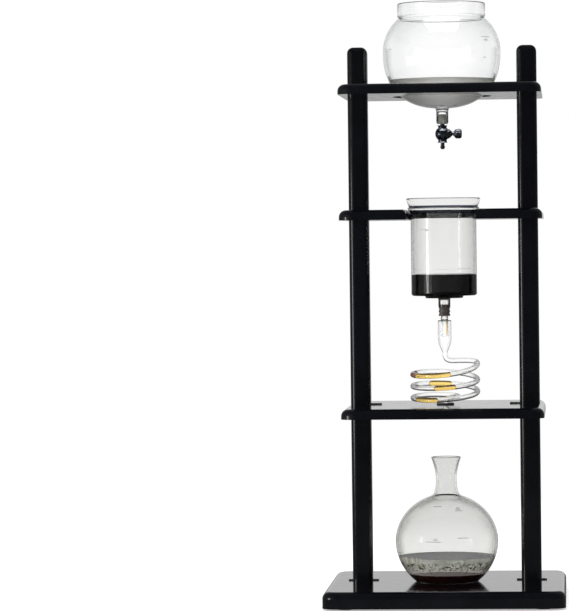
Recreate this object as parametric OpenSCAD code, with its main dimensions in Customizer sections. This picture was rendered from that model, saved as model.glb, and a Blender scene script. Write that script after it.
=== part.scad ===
// Cold drip coffee tower: a black lacquered wooden stand with a glass water globe and
// its drip tap, a glass brewing cylinder, a glass spiral and a round flask.
// Millimetres. Origin under the middle of the feet, +Z up, +X to the viewer's right.

/* [Stand] */
// Side of the square base board
base_w = 260; // [240:1:320]
// Thickness of the base board
base_t = 18; // [15:0.5:26]
// Side of the square shelves
shelf_w = 218; // [206:1:235]
// Thickness of the shelves
shelf_t = 11; // [10:0.5:14]
// Quarter round along the top edges of the boards
edge_round = 7.5; // [3:0.5:8.5]
// Corner radius of the boards, seen from above
corner_r = 15; // [12:1:30]
// Side of the square posts
post_w = 22; // [20:0.5:26]
// From a shelf's end to the post's outer face
post_inset = 5.5; // [4:0.5:9]
// Round along the upright edges of the posts
post_edge = 6; // [1.5:0.5:8]
// Round on the posts' tops
post_top = 7.5; // [3:0.5:8]
// How far the posts stand into the base board
post_seat = 8; // [5:0.5:10]
// Height of the posts above the top shelf
post_rise = 44; // [25:1:90]
// Clear height from the base board to the lower shelf
bay_flask = 183; // [165:1:240]
// Clear height from the lower to the middle shelf
bay_spiral = 202.6; // [190:0.2:225]
// Clear height from the middle to the top shelf
bay_tap = 123.9; // [112:0.1:180]

/* [Stand hardware] */
// Diameter of a rubber foot
foot_d = 18; // [12:1:26]
// How far a foot stands out under the base board
foot_h = 2; // [1:0.25:5]
// From the base board's edges to a foot's centre
foot_inset = 24; // [18:1:40]
// Width of an angle bracket's lower leg
bracket_w = 33; // [30:1:40]
// Length of both legs of an angle bracket
bracket_leg = 14; // [12:0.5:20]
// Sheet thickness of an angle bracket
bracket_t = 1.5; // [1:0.1:2]
// Shank diameter of a bracket screw
screw_d = 3; // [2.5:0.1:3.5]
// Length of a bracket screw's shank
screw_len = 9; // [7:0.5:9.5]
// Shank diameter of a base screw
base_screw_d = 5; // [4:0.5:6]
// Length of a base screw
base_screw_len = 48; // [35:1:70]

/* [Water globe] */
// Largest outer radius of the globe
globe_r = 64.4; // [58:0.2:72]
// Height of the globe's dome over its widest ring
globe_up = 53.5; // [50:0.5:64]
// Depth of the globe's bowl under its widest ring
globe_down = 62.2; // [58:0.2:72]
// Wall of the globe
globe_wall = 2.2; // [1.5:0.1:3]
// Outer radius of the globe's collar
collar_r = 48.1; // [42:0.1:50]
// Height of the globe's collar
collar_h = 16.3; // [10:0.1:25]
// Radius of the top shelf's hole, which carries the globe
seat_r = 54; // [50:0.1:56]
// Outer radius of the globe's lower neck
neck_r = 6.6; // [6:0.1:8]
// Length of the globe's lower neck
neck_len = 16; // [12:0.5:24]
// Water level over the top shelf
water_rise = 9; // [3:0.5:30]

/* [Tap] */
// Length of the rubber stopper in the globe's neck
stopper_len = 10.6; // [8:0.2:12]
// Outer radius of the tap's stem
tap_stem_r = 2.5; // [2:0.1:2.8]
// Radius of the waterway
waterway_r = 1.1; // [0.8:0.1:1.4]
// Radius of the tap's ball-shaped body
tap_ball_r = 8; // [7:0.1:10]
// Radius of the tap's two flanges
tap_flange_r = 5.6; // [5:0.1:6.8]
// From the ball's centre to the tip of the bonnet
bonnet_len = 10.8; // [9.5:0.1:14]
// Radius of the spindle
spindle_r = 1.6; // [1.4:0.1:2]
// Radius of the tap's knob
knob_r = 5.3; // [4.5:0.1:8]
// Length of the tap's knob
knob_len = 9.4; // [8:0.2:13]
// Flutes round the knob
knob_flutes = 8; // [6:1:12]
// Length of the nozzle under the tap's lower flange
nozzle_len = 7.4; // [5:0.2:12]

/* [Brewing cylinder] */
// Outer radius of the brewing cylinder
brew_r = 35.7; // [32:0.1:39]
// Depth of the cylinder under the middle shelf's top
brew_h = 94.2; // [86:0.2:100]
// Wall of the brewing cylinder
brew_wall = 2; // [1.5:0.1:3]
// How far the shoulder swells out over the slot's edge
shoulder_out = 3.6; // [3:0.1:5]
// Height of the sloping shoulder
shoulder_h = 5; // [4:0.5:8]
// Height of the lip over the middle shelf
lip_rise = 12.8; // [8:0.2:24]
// How far the lip flares over the shoulder
lip_out = 1.3; // [0.5:0.1:3]
// Radius of the shallow boss under the cylinder
boss_r = 21.2; // [18:0.1:26]
// Outer radius of the cylinder's outlet stem
stem_r = 6.6; // [6.2:0.1:8]
// Length of the outlet stem
stem_len = 9.4; // [8:0.2:14]
// Thickness of the filter disc
filter_t = 3; // [2:0.5:5]
// Level of the coffee over the filter disc
bed_h = 17.8; // [8:0.2:40]

/* [Drip tube] */
// Outer radius of the glass drip tube
drip_r = 4.1; // [3.5:0.1:4.3]
// How far the drip tube dips into the spiral's funnel
drip_dip = 17.6; // [8:0.2:24]
// Visible length of the rubber joint
joint_len = 10.2; // [8:0.2:14]
// Gap from the rubber joint to the funnel's mouth
joint_gap = 4.8; // [3:0.2:8]

/* [Spiral] */
// Outer radius of the funnel
funnel_r = 7.4; // [7:0.1:9]
// Radius from the axis to the middle of the coiled tube
coil_r = 35.5; // [30:0.5:42]
// Outer radius of the coiled tube
coil_tube_r = 2.9; // [2.5:0.1:3.2]
// Wall of the coiled tube
coil_wall = 0.9; // [0.7:0.1:1.2]
// Drop of the coil in one turn
coil_pitch = 12.8; // [11:0.1:14]
// Turns of the coil
coil_turns = 2.78; // [2.6:0.01:3]
// How far the hand-wound coil leans to the front
coil_lean = 7; // [0:0.5:8]
// Least gap from the coil to the lower shelf
coil_clear = 4; // [2:0.5:10]
// How far the spiral's outlet reaches under the lower shelf
outlet_drop = 5; // [2:0.5:12]
// Radius of the rubber grommet's flange
grommet_flange_r = 9.7; // [9:0.1:12]

/* [Flask] */
// Largest outer radius of the flask
flask_r = 56.1; // [48:0.1:66]
// Radius of the flask's flat bottom
flask_foot_r = 34; // [28:0.5:38]
// Height of the flask's dome over its widest ring
flask_up = 51.3; // [46:0.1:56]
// Least outer radius of the flask's neck
flask_neck_r = 11.2; // [10:0.1:14]
// Outer radius of the flask's lip
flask_lip_r = 16.4; // [15:0.1:20]
// Height of the flask
flask_h = 136.6; // [130:0.2:150]
// Wall of the flask
flask_wall = 1.8; // [1.4:0.1:2.4]
// Depth of the dark coffee in the flask
coffee_h = 8; // [4:0.5:16]
// Depth of the thin brew over the dark coffee
thin_brew_h = 17; // [6:0.5:24]

/* [Hidden] */

$fn = 96;
// Clearance of a fitted piece, all round
fit = 0.1;
// Clearance of a turning or sliding piece, all round
run = 0.05;
// Gap between a glass piece and the wood that carries it
rest_gap = 0.3;
// Overlap of cutting bodies past the faces they cut
cut = 1;

// Heights of the boards
base_top = foot_h + base_t;
lower_z = base_top + bay_flask;
lower_top = lower_z + shelf_t;
middle_z = lower_top + bay_spiral;
middle_top = middle_z + shelf_t;
upper_z = middle_top + bay_tap;
upper_top = upper_z + shelf_t;
post_end = upper_top + post_rise;
post_x = shelf_w / 2 - post_inset - post_w / 2;
foot_socket = 1.5;

// Angle brackets: distance of their screws from the sheet's edges, and their screw heads
bracket_edge = 4.5;
bracket_upright = post_w - 2 * post_edge;
bracket_foot = post_w - 2;
bracket_y = post_w / 2 + fit;
bracket_levels = [base_top, lower_top, middle_top, upper_top];
screw_head_r = 2.6;
screw_slot_w = 0.7;
base_screw_slot = 1.8;

// Widest ring of the globe, where the bowl's outline meets the chamfer of its seat
belly = 2.35;
seat_chamfer = 1.5;
globe_z = upper_top - seat_chamfer + oval_z(seat_r - rest_gap, globe_r, globe_down, belly);
collar_groove = 1.2;
collar_z = globe_z + oval_z(collar_r - collar_groove, globe_r, globe_up, 2);
globe_top = collar_z + collar_h;
neck_z = globe_z - globe_down;
neck_end = neck_z - neck_len;
water_z = upper_top + water_rise;

// Heights down the tap, from the stem's shoulder to the nozzle's tip
stopper_out = 1;
stopper_end = neck_end - stopper_out;
tap_stem_gap = 1.6;
flange_t = 1.4;
tap_top = stopper_end - tap_stem_gap;
tap_z = tap_top - flange_t - tap_ball_r * 0.98;
tap_low = tap_z - tap_ball_r * 1.03;
nozzle_z = tap_low - flange_t;
nozzle_tip = nozzle_z - nozzle_len;
nozzle_r = 2.1;
nozzle_socket = 3;
bulb_r = 2.6;

// The bonnet that carries the spindle on the tap's right
bonnet_in = tap_ball_r * 0.3;
bonnet_flat = tap_ball_r * 0.72;
bonnet_r = tap_ball_r * 0.67;
bonnet_tip_r = spindle_r + 0.7;
bonnet_thread_r = spindle_r + 2;
packing_len = 2.4;
packing_r = spindle_r + 1.1;
knob_gap = 1;
knob_x = bonnet_len + knob_gap;
knob_bore = 6.6;

// Heights down the brewing cylinder
brew_z = middle_top - brew_h;
boss_h = 2.7;
boss_z = brew_z - boss_h;
stem_end = boss_z - stem_len;
brew_floor = 2.5;
brew_in = brew_r - brew_wall;
stem_bore = stem_r - 1.6;
filter_z = brew_z + brew_floor;
bed_z = filter_z + filter_t;
seal_w = 2.4;
lip_top = middle_top + lip_rise;
slot_half = brew_r + 0.6;
slot_chamfer = shoulder_out - 0.6 + rest_gap;
slot_chamfer_h = slot_chamfer * shoulder_h / shoulder_out;
slot_mouth_r = 2;

// Heights down the drip tube and the spiral
joint_end = stem_end - joint_len;
funnel_top = joint_end - joint_gap;
tube_grip = 7;
drip_end = funnel_top - drip_dip;
drip_bore = drip_r - 1.3;
funnel_wall = 1.1;
coil_bore = coil_tube_r - coil_wall;
coil_low = lower_top + coil_clear + coil_tube_r + coil_r * tan(coil_lean);
coil_z = coil_low + coil_pitch * (coil_turns - 0.55);
lead_level = 8;
lead_drop = 9.4;
lead_turn = 30;
lead_bend = 11;
lead_sweep = 14;
first_rise = 5;
run_out = 17;
run_out_rise = 7;
funnel_cone = 15;
funnel_z = coil_z + lead_level + lead_drop;
grommet_r = 8;
grommet_flange = 1.8;
outlet_r = coil_tube_r - 0.2;
outlet_top = lower_top + grommet_flange + 0.4;
outlet_end = lower_z - outlet_drop;

// Flask: its widest ring stands where a round bulb meets the flat bottom
flask_mid = sqrt(flask_r * flask_r - flask_foot_r * flask_foot_r);
waist_drop = 25;
flask_waist = flask_h - waist_drop;
flask_flare = sqrt(flask_lip_r * flask_lip_r - flask_neck_r * flask_neck_r) / (flask_h - flask_waist);
liquid_gap = 0.1;

// ---- Functions ----

// Height over the middle at which an oval of half-width a and half-height b has radius r
function oval_z(r, a, b, n) = b * pow(1 - pow(r / a, n), 1 / n);

// Radius of the same oval at height z from its middle
function oval_r(z, a, b, n) = a * pow(max(0, 1 - pow(abs(z) / b, n)), 1 / n);

// Points of an oval's outline from angle t0 to angle t1, about height zc
function oval(a, b, n, zc, t0, t1, steps) = [
    for (i = [0 : steps])
        let (t = t0 + (t1 - t0) * i / steps, c = abs(cos(t)), s = abs(sin(t)))
            [a * pow(c, 2 / n), zc + sign(t) * b * pow(s, 2 / n)]
];

// Angle on an oval at which its outline has radius r
function oval_angle(r, a, n) = acos(pow(r / a, n / 2));

// Points of an arc in a section, with its centre at c
function arc(c, r, t0, t1, steps) = [
    for (i = [0 : steps])
        let (t = t0 + (t1 - t0) * i / steps) c + r * [cos(t), sin(t)]
];

// Points on a cubic curve from p0 to p3 with the handles p1 and p2, without its last point
function curve(p0, p1, p2, p3, steps) = [
    for (i = [0 : steps - 1])
        let (t = i / steps, u = 1 - t)
            u * u * u * p0 + 3 * u * u * t * p1 + 3 * u * t * t * p2 + t * t * t * p3
];

function unit(v) = v / norm(v);

// Rings of a tube along a path: each frame is the last one, turned as little as possible
function side_vectors(path, i = 0, last = [1, 0, 0]) =
    i >= len(path) ? [] :
    let (t = direction(path, i), s = unit(last - (last * t) * t))
        concat([s], side_vectors(path, i + 1, s));

function direction(path, i) =
    unit(path[min(i + 1, len(path) - 1)] - path[max(i - 1, 0)]);

function ring(p, t, s, r, sides) = [
    for (k = [0 : sides - 1])
        let (a = 360 * k / sides) p + r * (cos(a) * s + sin(a) * cross(t, s))
];

// ---- Boards ----

module board_outline(w) {
    straight = w - 2 * corner_r;
    square([w, straight], center = true);
    square([straight, w], center = true);
    for (sx = [-1, 1], sy = [-1, 1])
        translate([sx * straight / 2, sy * straight / 2])
            circle(corner_r);
}

// Section of what a quarter round takes off an edge; the edge's face is at x = 0
module round_over_section() {
    difference() {
        translate([-edge_round, 0])
            square(edge_round + cut);
        translate([-edge_round, 0])
            circle(edge_round);
    }
}

// A square board with rounded corners and a quarter round along its top edges
module board(w, t) {
    straight = w - 2 * corner_r;
    difference() {
        linear_extrude(t)
            board_outline(w);
        for (turn = [0 : 90 : 270])
            rotate(turn)
                translate([0, straight / 2, t - edge_round]) {
                    translate([w / 2, 0])
                        rotate([90, 0, 0])
                            linear_extrude(straight)
                                round_over_section();
                    translate([straight / 2, 0])
                        rotate_extrude(angle = 90)
                            translate([corner_r, 0])
                                round_over_section();
                }
    }
}

// Outline of a post, and of the hole that it passes through
module post_outline(grow) {
    side = post_w + 2 * grow;
    r = post_edge + grow;
    square([side - 2 * r, side], center = true);
    square([side, side - 2 * r], center = true);
    for (sx = [-1, 1], sy = [-1, 1])
        translate([sx * (side / 2 - r), sy * (side / 2 - r)])
            circle(r);
}

// Calls its children at the left and the right post
module at_posts() {
    for (side = [-1, 1])
        translate([side * post_x, 0])
            children();
}

module shelf(z) {
    difference() {
        translate([0, 0, z])
            board(shelf_w, shelf_t);
        at_posts()
            translate([0, 0, z - cut])
                linear_extrude(shelf_t + 2 * cut)
                    post_outline(fit);
        at_board_screws(z + shelf_t)
            screw_hole();
        translate([0, 0, z])
            children();
    }
}

module base_board() {
    color("#101114")
        difference() {
            translate([0, 0, foot_h])
                board(base_w, base_t);
            at_posts()
                translate([0, 0, base_top - post_seat])
                    linear_extrude(post_seat + cut)
                        post_outline(fit);
            at_base_screws()
                base_screw(fit);
            at_board_screws(base_top)
                screw_hole();
            at_feet()
                translate([0, 0, -foot_socket])
                    cylinder(d = foot_d + 2 * fit, h = 2 * foot_socket);
        }
}

module shelf_lower() {
    color("#101114")
        shelf(lower_z)
            translate([0, 0, -cut])
                cylinder(r = grommet_r + run, h = shelf_t + 2 * cut);
}

// The middle shelf's slot is open to the front, with a chamfer that the shoulder rests on
module shelf_middle() {
    color("#101114")
        shelf(middle_z) {
            translate([0, 0, -cut])
                linear_extrude(shelf_t + 2 * cut)
                    slot_outline();
            slot_chamfer_cut();
        }
}

module slot_outline() {
    front = shelf_w / 2;
    circle(slot_half);
    translate([-slot_half, -front - cut])
        square([2 * slot_half, front + cut]);
    for (side = [-1, 1])
        translate([side * slot_half, -front])
            mirror([side < 0 ? 1 : 0, 0])
                difference() {
                    translate([-cut, -cut])
                        square([slot_mouth_r + cut, slot_mouth_r + cut]);
                    translate([slot_mouth_r, slot_mouth_r])
                        circle(slot_mouth_r);
                    translate([slot_mouth_r, 0])
                        square(2 * slot_mouth_r);
                    translate([0, slot_mouth_r])
                        square(2 * slot_mouth_r);
                }
}

module slot_chamfer_cut() {
    lower = shelf_t - slot_chamfer_h;
    slope = slot_chamfer / slot_chamfer_h;
    translate([0, 0, lower])
        cylinder(r1 = slot_half, r2 = slot_half + slope * (slot_chamfer_h + cut), h = slot_chamfer_h + cut);
    translate([0, 0, lower])
        rotate([90, 0, 0])
            linear_extrude(shelf_w / 2 + cut)
                polygon([
                    [-slot_half, 0],
                    [slot_half, 0],
                    [slot_half + slope * (slot_chamfer_h + cut), slot_chamfer_h + cut],
                    [-slot_half - slope * (slot_chamfer_h + cut), slot_chamfer_h + cut]
                ]);
}

// The top shelf's hole, with a chamfer that the globe's bowl rests on
module shelf_top() {
    color("#101114")
        shelf(upper_z) {
            translate([0, 0, -cut])
                cylinder(r = seat_r, h = shelf_t + 2 * cut);
            translate([0, 0, shelf_t - seat_chamfer])
                cylinder(r1 = seat_r, r2 = seat_r + seat_chamfer + cut, h = seat_chamfer + cut);
        }
}

// ---- Posts ----

module post() {
    bottom = base_top - post_seat;
    difference() {
        intersection() {
            translate([0, 0, bottom])
                linear_extrude(post_end - bottom)
                    post_outline(0);
            for_both_ways()
                translate([0, 0, bottom])
                    linear_extrude_y(post_w)
                        rounded_top(post_end - bottom);
        }
        translate([0, 0, foot_h])
            base_screw(fit);
        for (z = bracket_levels)
            at_post_screw(z)
                screw_hole();
    }
}

// Intersects its child with the same child turned by a quarter
module for_both_ways() {
    intersection() {
        children();
        rotate(90)
            children();
    }
}

module linear_extrude_y(len) {
    translate([0, len / 2 + cut])
        rotate([90, 0, 0])
            linear_extrude(len + 2 * cut)
                children();
}

module rounded_top(h) {
    half = post_w / 2;
    translate([-half, 0])
        square([post_w, h - post_top]);
    translate([-half + post_top, 0])
        square([post_w - 2 * post_top, h]);
    for (side = [-1, 1])
        translate([side * (half - post_top), h - post_top])
            circle(post_top);
}

module post_left() {
    color("#101114")
        translate([-post_x, 0])
            post();
}

module post_right() {
    color("#101114")
        translate([post_x, 0])
            post();
}

// ---- Stand hardware ----

module at_feet() {
    for (sx = [-1, 1], sy = [-1, 1])
        translate([sx * (base_w / 2 - foot_inset), sy * (base_w / 2 - foot_inset), foot_h])
            children();
}

module foot_pads() {
    color("#232325")
        at_feet()
            translate([0, 0, -foot_h])
                cylinder(d = foot_d, h = foot_h + foot_socket - run);
}

// A bracket stands behind each post, on the base and on each shelf. Its lower leg is wider
// than the post on the base, where it is centred, and on the lower shelf, where it starts
// flush with the post's outer face. Higher up it hides behind the post.
function bracket_width(z) = z < middle_top ? bracket_w : bracket_foot;

function bracket_shift(z) = z == lower_top ? bracket_w / 2 - post_w / 2 : 0;

// Calls its children at both brackets on the board whose top is at z
module at_brackets(z) {
    for (side = [-1, 1])
        translate([side * post_x, bracket_y, z])
            mirror([side > 0 ? 1 : 0, 0])
                translate([bracket_shift(z), 0])
                    children();
}

module at_board_screws(z) {
    at_brackets(z)
        for (side = [-1, 1])
            translate([side * (bracket_width(z) / 2 - bracket_edge), bracket_leg - bracket_edge])
                children();
}

// Calls its children at the screw behind a post that stands at the origin
module at_post_screw(z) {
    translate([0, bracket_y, z + bracket_leg - bracket_edge])
        rotate([-90, 0, 0])
            children();
}

module screw_hole() {
    depth = screw_len - bracket_t + run;
    translate([0, 0, -depth])
        cylinder(d = screw_d + 2 * run, h = depth + cut);
}

// A countersunk screw, its shank down -Z from the sheet's back and its head flush with the
// sheet's face
module flat_screw() {
    translate([0, 0, bracket_t - screw_len])
        cylinder(d = screw_d, h = screw_len);
    difference() {
        cylinder(r1 = screw_d / 2, r2 = screw_head_r, h = bracket_t);
        translate([0, 0, bracket_t * 0.5])
            linear_extrude(bracket_t)
                for (turn = [0, 90])
                    rotate(turn)
                        square([screw_head_r * 1.1, screw_slot_w], center = true);
    }
}

module angle_bracket(z) {
    upright_x = -bracket_shift(z);
    width = bracket_width(z);
    translate([-width / 2, 0, 0])
        cube([width, bracket_leg, bracket_t]);
    translate([upright_x - bracket_upright / 2, 0, 0])
        cube([bracket_upright, bracket_t, bracket_leg]);
}

module bracket_hole() {
    translate([0, 0, -cut])
        cylinder(d = screw_d + 2 * fit, h = bracket_t + 2 * cut);
    cylinder(r1 = screw_d / 2 + fit, r2 = screw_head_r + fit, h = bracket_t);
    translate([0, 0, bracket_t])
        cylinder(r = screw_head_r + fit, h = cut);
}

module angle_brackets() {
    color("#1b1c1f")
        for (z = bracket_levels)
            difference() {
                at_brackets(z)
                    angle_bracket(z);
                at_board_screws(z)
                    bracket_hole();
                at_posts()
                    at_post_screw(z)
                        bracket_hole();
            }
}

module bracket_screws() {
    color("#2a2b2e")
        for (z = bracket_levels) {
            at_board_screws(z)
                flat_screw();
            at_posts()
                at_post_screw(z)
                    flat_screw();
        }
}

module at_base_screws() {
    at_posts()
        translate([0, 0, foot_h])
            children();
}

// A countersunk screw up into the post's end grain, its head flush with the underside
module base_screw(grow) {
    r = base_screw_d / 2 + grow;
    translate([0, 0, -grow])
        cylinder(r = r, h = base_screw_len + 2 * grow);
    translate([0, 0, -grow])
        cylinder(r1 = r + base_screw_d / 2, r2 = r, h = base_screw_d / 2);
}

module base_screws() {
    color("#8d8f94")
        at_base_screws()
            difference() {
                base_screw(0);
                translate([0, 0, -cut])
                    linear_extrude(cut + base_screw_slot)
                        for (turn = [0, 90])
                            rotate(turn)
                                square([base_screw_d * 1.1, 1], center = true);
            }
}

module spiral_grommet() {
    color("#2b2a2c")
        translate([0, 0, lower_z])
            rotate_extrude()
                polygon([
                    [outlet_r + run, 0],
                    [grommet_r, 0],
                    [grommet_r, shelf_t + run],
                    [grommet_flange_r, shelf_t + run],
                    [grommet_flange_r, shelf_t + grommet_flange * 0.6],
                    [grommet_flange_r - 0.8, shelf_t + grommet_flange],
                    [outlet_r + run, shelf_t + grommet_flange]
                ]);
}

// ---- Water globe and its tap ----

// Outline of the globe's wall, pushed in by a wall thickness on its inner side
function globe_side(wall) =
    let (
        a = globe_r - wall,
        up = globe_up - wall,
        down = globe_down - wall,
        top_angle = oval_angle(collar_r - collar_groove - wall, a, 2),
        low_angle = oval_angle(neck_r + 1.4 - wall, a, belly)
    )
        concat(
            oval(a, up, 2, globe_z, top_angle, 4, 14),
            oval(a, down, belly, globe_z, -3, -low_angle, 22)
        );

module reservoir_globe() {
    outer = globe_side(0);
    inner = globe_side(globe_wall);
    neck_bore = neck_r - 1.5;
    color("#dfe8ea", 0.35)
        rotate_extrude()
            polygon(concat(
                [
                    [collar_r - 3.4, globe_top - 1],
                    [collar_r - 2.2, globe_top],
                    [collar_r - 0.8, globe_top - 0.3],
                    [collar_r, globe_top - 1.6],
                    [collar_r, collar_z + 1.6],
                    [collar_r - collar_groove, collar_z + 0.6]
                ],
                outer,
                [
                    [neck_r + 0.4, neck_z - 1.2],
                    [neck_r, neck_z - 4],
                    [neck_r, neck_end + 0.5],
                    [neck_r - 0.4, neck_end],
                    [neck_bore + 0.3, neck_end],
                    [neck_bore, neck_end + 0.5],
                    [neck_bore, neck_z - 1]
                ],
                [for (i = [len(inner) - 1 : -1 : 0]) inner[i]],
                [[collar_r - 3.4, collar_z + 2]]
            ));
}

// The water fills the bowl and the top of the neck, down to the stopper
module reservoir_water() {
    a = globe_r - globe_wall - liquid_gap;
    down = globe_down - globe_wall - liquid_gap;
    neck_bore = neck_r - 1.5 - liquid_gap;
    low = oval(a, down, belly, globe_z, -3, -oval_angle(neck_bore + 1, a, belly), 26);
    side = [for (p = low) if (p[1] < water_z) p];
    bottom = stopper_end + stopper_len + liquid_gap;
    color("#cfdde0", 0.35)
        rotate_extrude()
            polygon(concat(
                [[0, water_z], [oval_r(globe_z - water_z, a, down, belly), water_z]],
                side,
                [[neck_bore, neck_z - 1], [neck_bore, bottom], [0, bottom]]
            ));
}

module reservoir_stopper() {
    r = neck_r - 1.5 - run;
    color("#6e7168")
        translate([0, 0, stopper_end])
            rotate_extrude()
                polygon([
                    [tap_stem_r + run, 0],
                    [r + 0.9, 0],
                    [r + 0.9, stopper_out - run],
                    [r, stopper_out - run],
                    [r, stopper_len - 0.6],
                    [r - 0.6, stopper_len],
                    [tap_stem_r + run, stopper_len]
                ]);
}

module tap_body() {
    stem_top = stopper_end + stopper_len - 1.4;
    color("#33363c")
        difference() {
            union() {
                translate([0, 0, tap_top - flange_t])
                    cylinder(r = tap_stem_r, h = stem_top - tap_top + flange_t);
                translate([0, 0, tap_top - flange_t])
                    cylinder(r1 = tap_flange_r * 0.82, r2 = tap_flange_r, h = flange_t);
                translate([0, 0, tap_z])
                    cylinder(r = tap_flange_r * 0.84, h = tap_top - flange_t - tap_z);
                translate([0, 0, tap_z])
                    sphere(tap_ball_r);
                translate([0, 0, tap_low])
                    cylinder(r = tap_flange_r * 0.84, h = tap_z - tap_low);
                translate([0, 0, tap_low - flange_t])
                    cylinder(r1 = tap_flange_r, r2 = tap_flange_r * 0.84, h = flange_t);
            }
            translate([0, 0, tap_low - flange_t - cut])
                cylinder(r = waterway_r, h = stem_top - tap_low + flange_t + 2 * cut);
            translate([0, 0, nozzle_z - cut])
                cylinder(r = nozzle_r + fit, h = nozzle_socket + cut);
            translate([-waterway_r * 1.5, 0, tap_z])
                rotate([0, 90, 0])
                    cylinder(r = spindle_r + run, h = tap_ball_r * 2);
            translate([bonnet_in, 0, tap_z])
                rotate([0, 90, 0])
                    cylinder(r = bonnet_thread_r + fit, h = tap_ball_r * 2);
            translate([bonnet_flat, 0, tap_z])
                rotate([0, 90, 0])
                    cylinder(r = tap_ball_r, h = tap_ball_r);
        }
}

module tap_nozzle() {
    color("#3c4047")
        difference() {
            union() {
                translate([0, 0, nozzle_tip + bulb_r])
                    cylinder(r = nozzle_r, h = nozzle_len - bulb_r + nozzle_socket - fit);
                translate([0, 0, nozzle_tip + bulb_r])
                    sphere(bulb_r);
            }
            translate([0, 0, nozzle_tip - cut])
                cylinder(r = waterway_r, h = nozzle_len + nozzle_socket + 2 * cut);
        }
}

// The bell-shaped bonnet screws into the ball and guides the spindle
module tap_bonnet() {
    flat = bonnet_flat + fit;
    taper = bonnet_len - flat;
    color("#2b2e33")
        translate([0, 0, tap_z])
            rotate([0, 90, 0])
                difference() {
                    rotate_extrude()
                        polygon(concat(
                            [
                                [spindle_r + run, bonnet_in + fit],
                                [bonnet_thread_r, bonnet_in + fit],
                                [bonnet_thread_r, flat]
                            ],
                            curve([bonnet_r, flat], [bonnet_r, flat + taper * 0.45],
                                [bonnet_tip_r + 1, flat + taper * 0.6], [bonnet_tip_r, bonnet_len], 8),
                            [
                                [bonnet_tip_r, bonnet_len],
                                [spindle_r + run, bonnet_len]
                            ]
                        ));
                    translate([0, 0, bonnet_in - cut])
                        cylinder(r = packing_r + run, h = packing_len + cut);
                }
}

module tap_packing() {
    color("#d8d6cf")
        translate([bonnet_in + 2 * fit, 0, tap_z])
            rotate([0, 90, 0])
                difference() {
                    cylinder(r = packing_r, h = packing_len - 3 * fit);
                    translate([0, 0, -cut])
                        cylinder(r = spindle_r + run, h = packing_len + 2 * cut);
                }
}

// The spindle's cone closes the waterway; its outer end carries the knob
module tap_spindle() {
    tip = -waterway_r * 1.5 + run;
    color("#9a9da3")
        translate([0, 0, tap_z])
            rotate([0, 90, 0]) {
                translate([0, 0, tip])
                    cylinder(r1 = 0.5, r2 = spindle_r, h = 1.6);
                translate([0, 0, tip + 1.6])
                    cylinder(r = spindle_r, h = knob_x + knob_bore - fit - tip - 1.6);
            }
}

module tap_knob() {
    waist = spindle_r + 1.1;
    color("#26282d")
        translate([knob_x, 0, tap_z])
            rotate([0, 90, 0])
                difference() {
                    rotate_extrude()
                        polygon([
                            [0, 0],
                            [waist, 0],
                            [waist, knob_len * 0.1],
                            [knob_r * 0.78, knob_len * 0.18],
                            [knob_r, knob_len * 0.36],
                            [knob_r, knob_len * 0.78],
                            [knob_r * 0.88, knob_len * 0.92],
                            [knob_r * 0.6, knob_len],
                            [0, knob_len]
                        ]);
                    translate([0, 0, -cut])
                        cylinder(r = spindle_r + run, h = knob_bore + cut);
                    for (i = [0 : knob_flutes - 1])
                        rotate(360 * (i + 0.5) / knob_flutes)
                            translate([knob_r + 0.75, 0, -cut])
                                cylinder(r = 1.3, h = knob_len + 2 * cut);
                    translate([0, 0, knob_len * 0.5])
                        rotate([0, 90, 0])
                            cylinder(r = 0.85, h = knob_r + cut);
                }
}

// A grub screw holds the knob on the spindle
module knob_screw() {
    color("#6f7278")
        translate([knob_x + knob_len * 0.5, 0, tap_z])
            rotate([0, 180, 0])
                translate([0, 0, spindle_r + run])
                    difference() {
                        cylinder(r = 0.8, h = knob_r - spindle_r - 1);
                        translate([0, 0, knob_r - spindle_r - 1.8])
                            cylinder(r = 0.4, h = 2, $fn = 6);
                    }
}

// ---- Brewing cylinder ----

module brew_cylinder() {
    lip_r = brew_r + shoulder_out + lip_out;
    corner = 3;
    inner_corner = 1.5;
    color("#dfe8ea", 0.35)
        rotate_extrude()
            polygon(concat(
                [
                    [lip_r - 1.4, lip_top],
                    [lip_r - 0.4, lip_top],
                    [lip_r, lip_top - 0.6],
                    [lip_r - lip_out * 0.7, lip_top - lip_rise * 0.4],
                    [brew_r + shoulder_out, middle_top],
                    [brew_r, middle_top - shoulder_h]
                ],
                arc([brew_r - corner, brew_z + corner], corner, 0, -90, 8),
                [
                    [boss_r, brew_z],
                    [boss_r - 1, boss_z + 0.4],
                    [boss_r - 1.8, boss_z],
                    [stem_r + 1.2, boss_z],
                    [stem_r, boss_z - 1.2],
                    [stem_r, stem_end + 0.3],
                    [stem_r - 0.3, stem_end],
                    [stem_bore, stem_end],
                    [stem_bore, boss_z + 2],
                    [boss_r - 2.6, boss_z + 2],
                    [boss_r - 2, boss_z + 2.5],
                    [boss_r - 2, brew_z + brew_floor],
                    [brew_in - inner_corner, brew_z + brew_floor],
                    [brew_in, brew_z + brew_floor + inner_corner],
                    [brew_in, middle_top - shoulder_h + 0.6],
                    [brew_in + shoulder_out, middle_top + 0.6],
                    [lip_r - lip_out * 0.7 - brew_wall, lip_top - lip_rise * 0.4]
                ]
            ));
}

module filter_disc() {
    r = brew_in - run - seal_w - run;
    color("#8f9296")
        translate([0, 0, filter_z])
            difference() {
                cylinder(r = r, h = filter_t);
                translate([0, 0, -cut])
                    for (ring_no = [1 : 3], i = [0 : 6 * ring_no - 1])
                        rotate(60 * i / ring_no)
                            translate([5.4 * ring_no, 0])
                                cylinder(r = 0.9, h = filter_t + 2 * cut, $fn = 16);
            }
}

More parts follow.
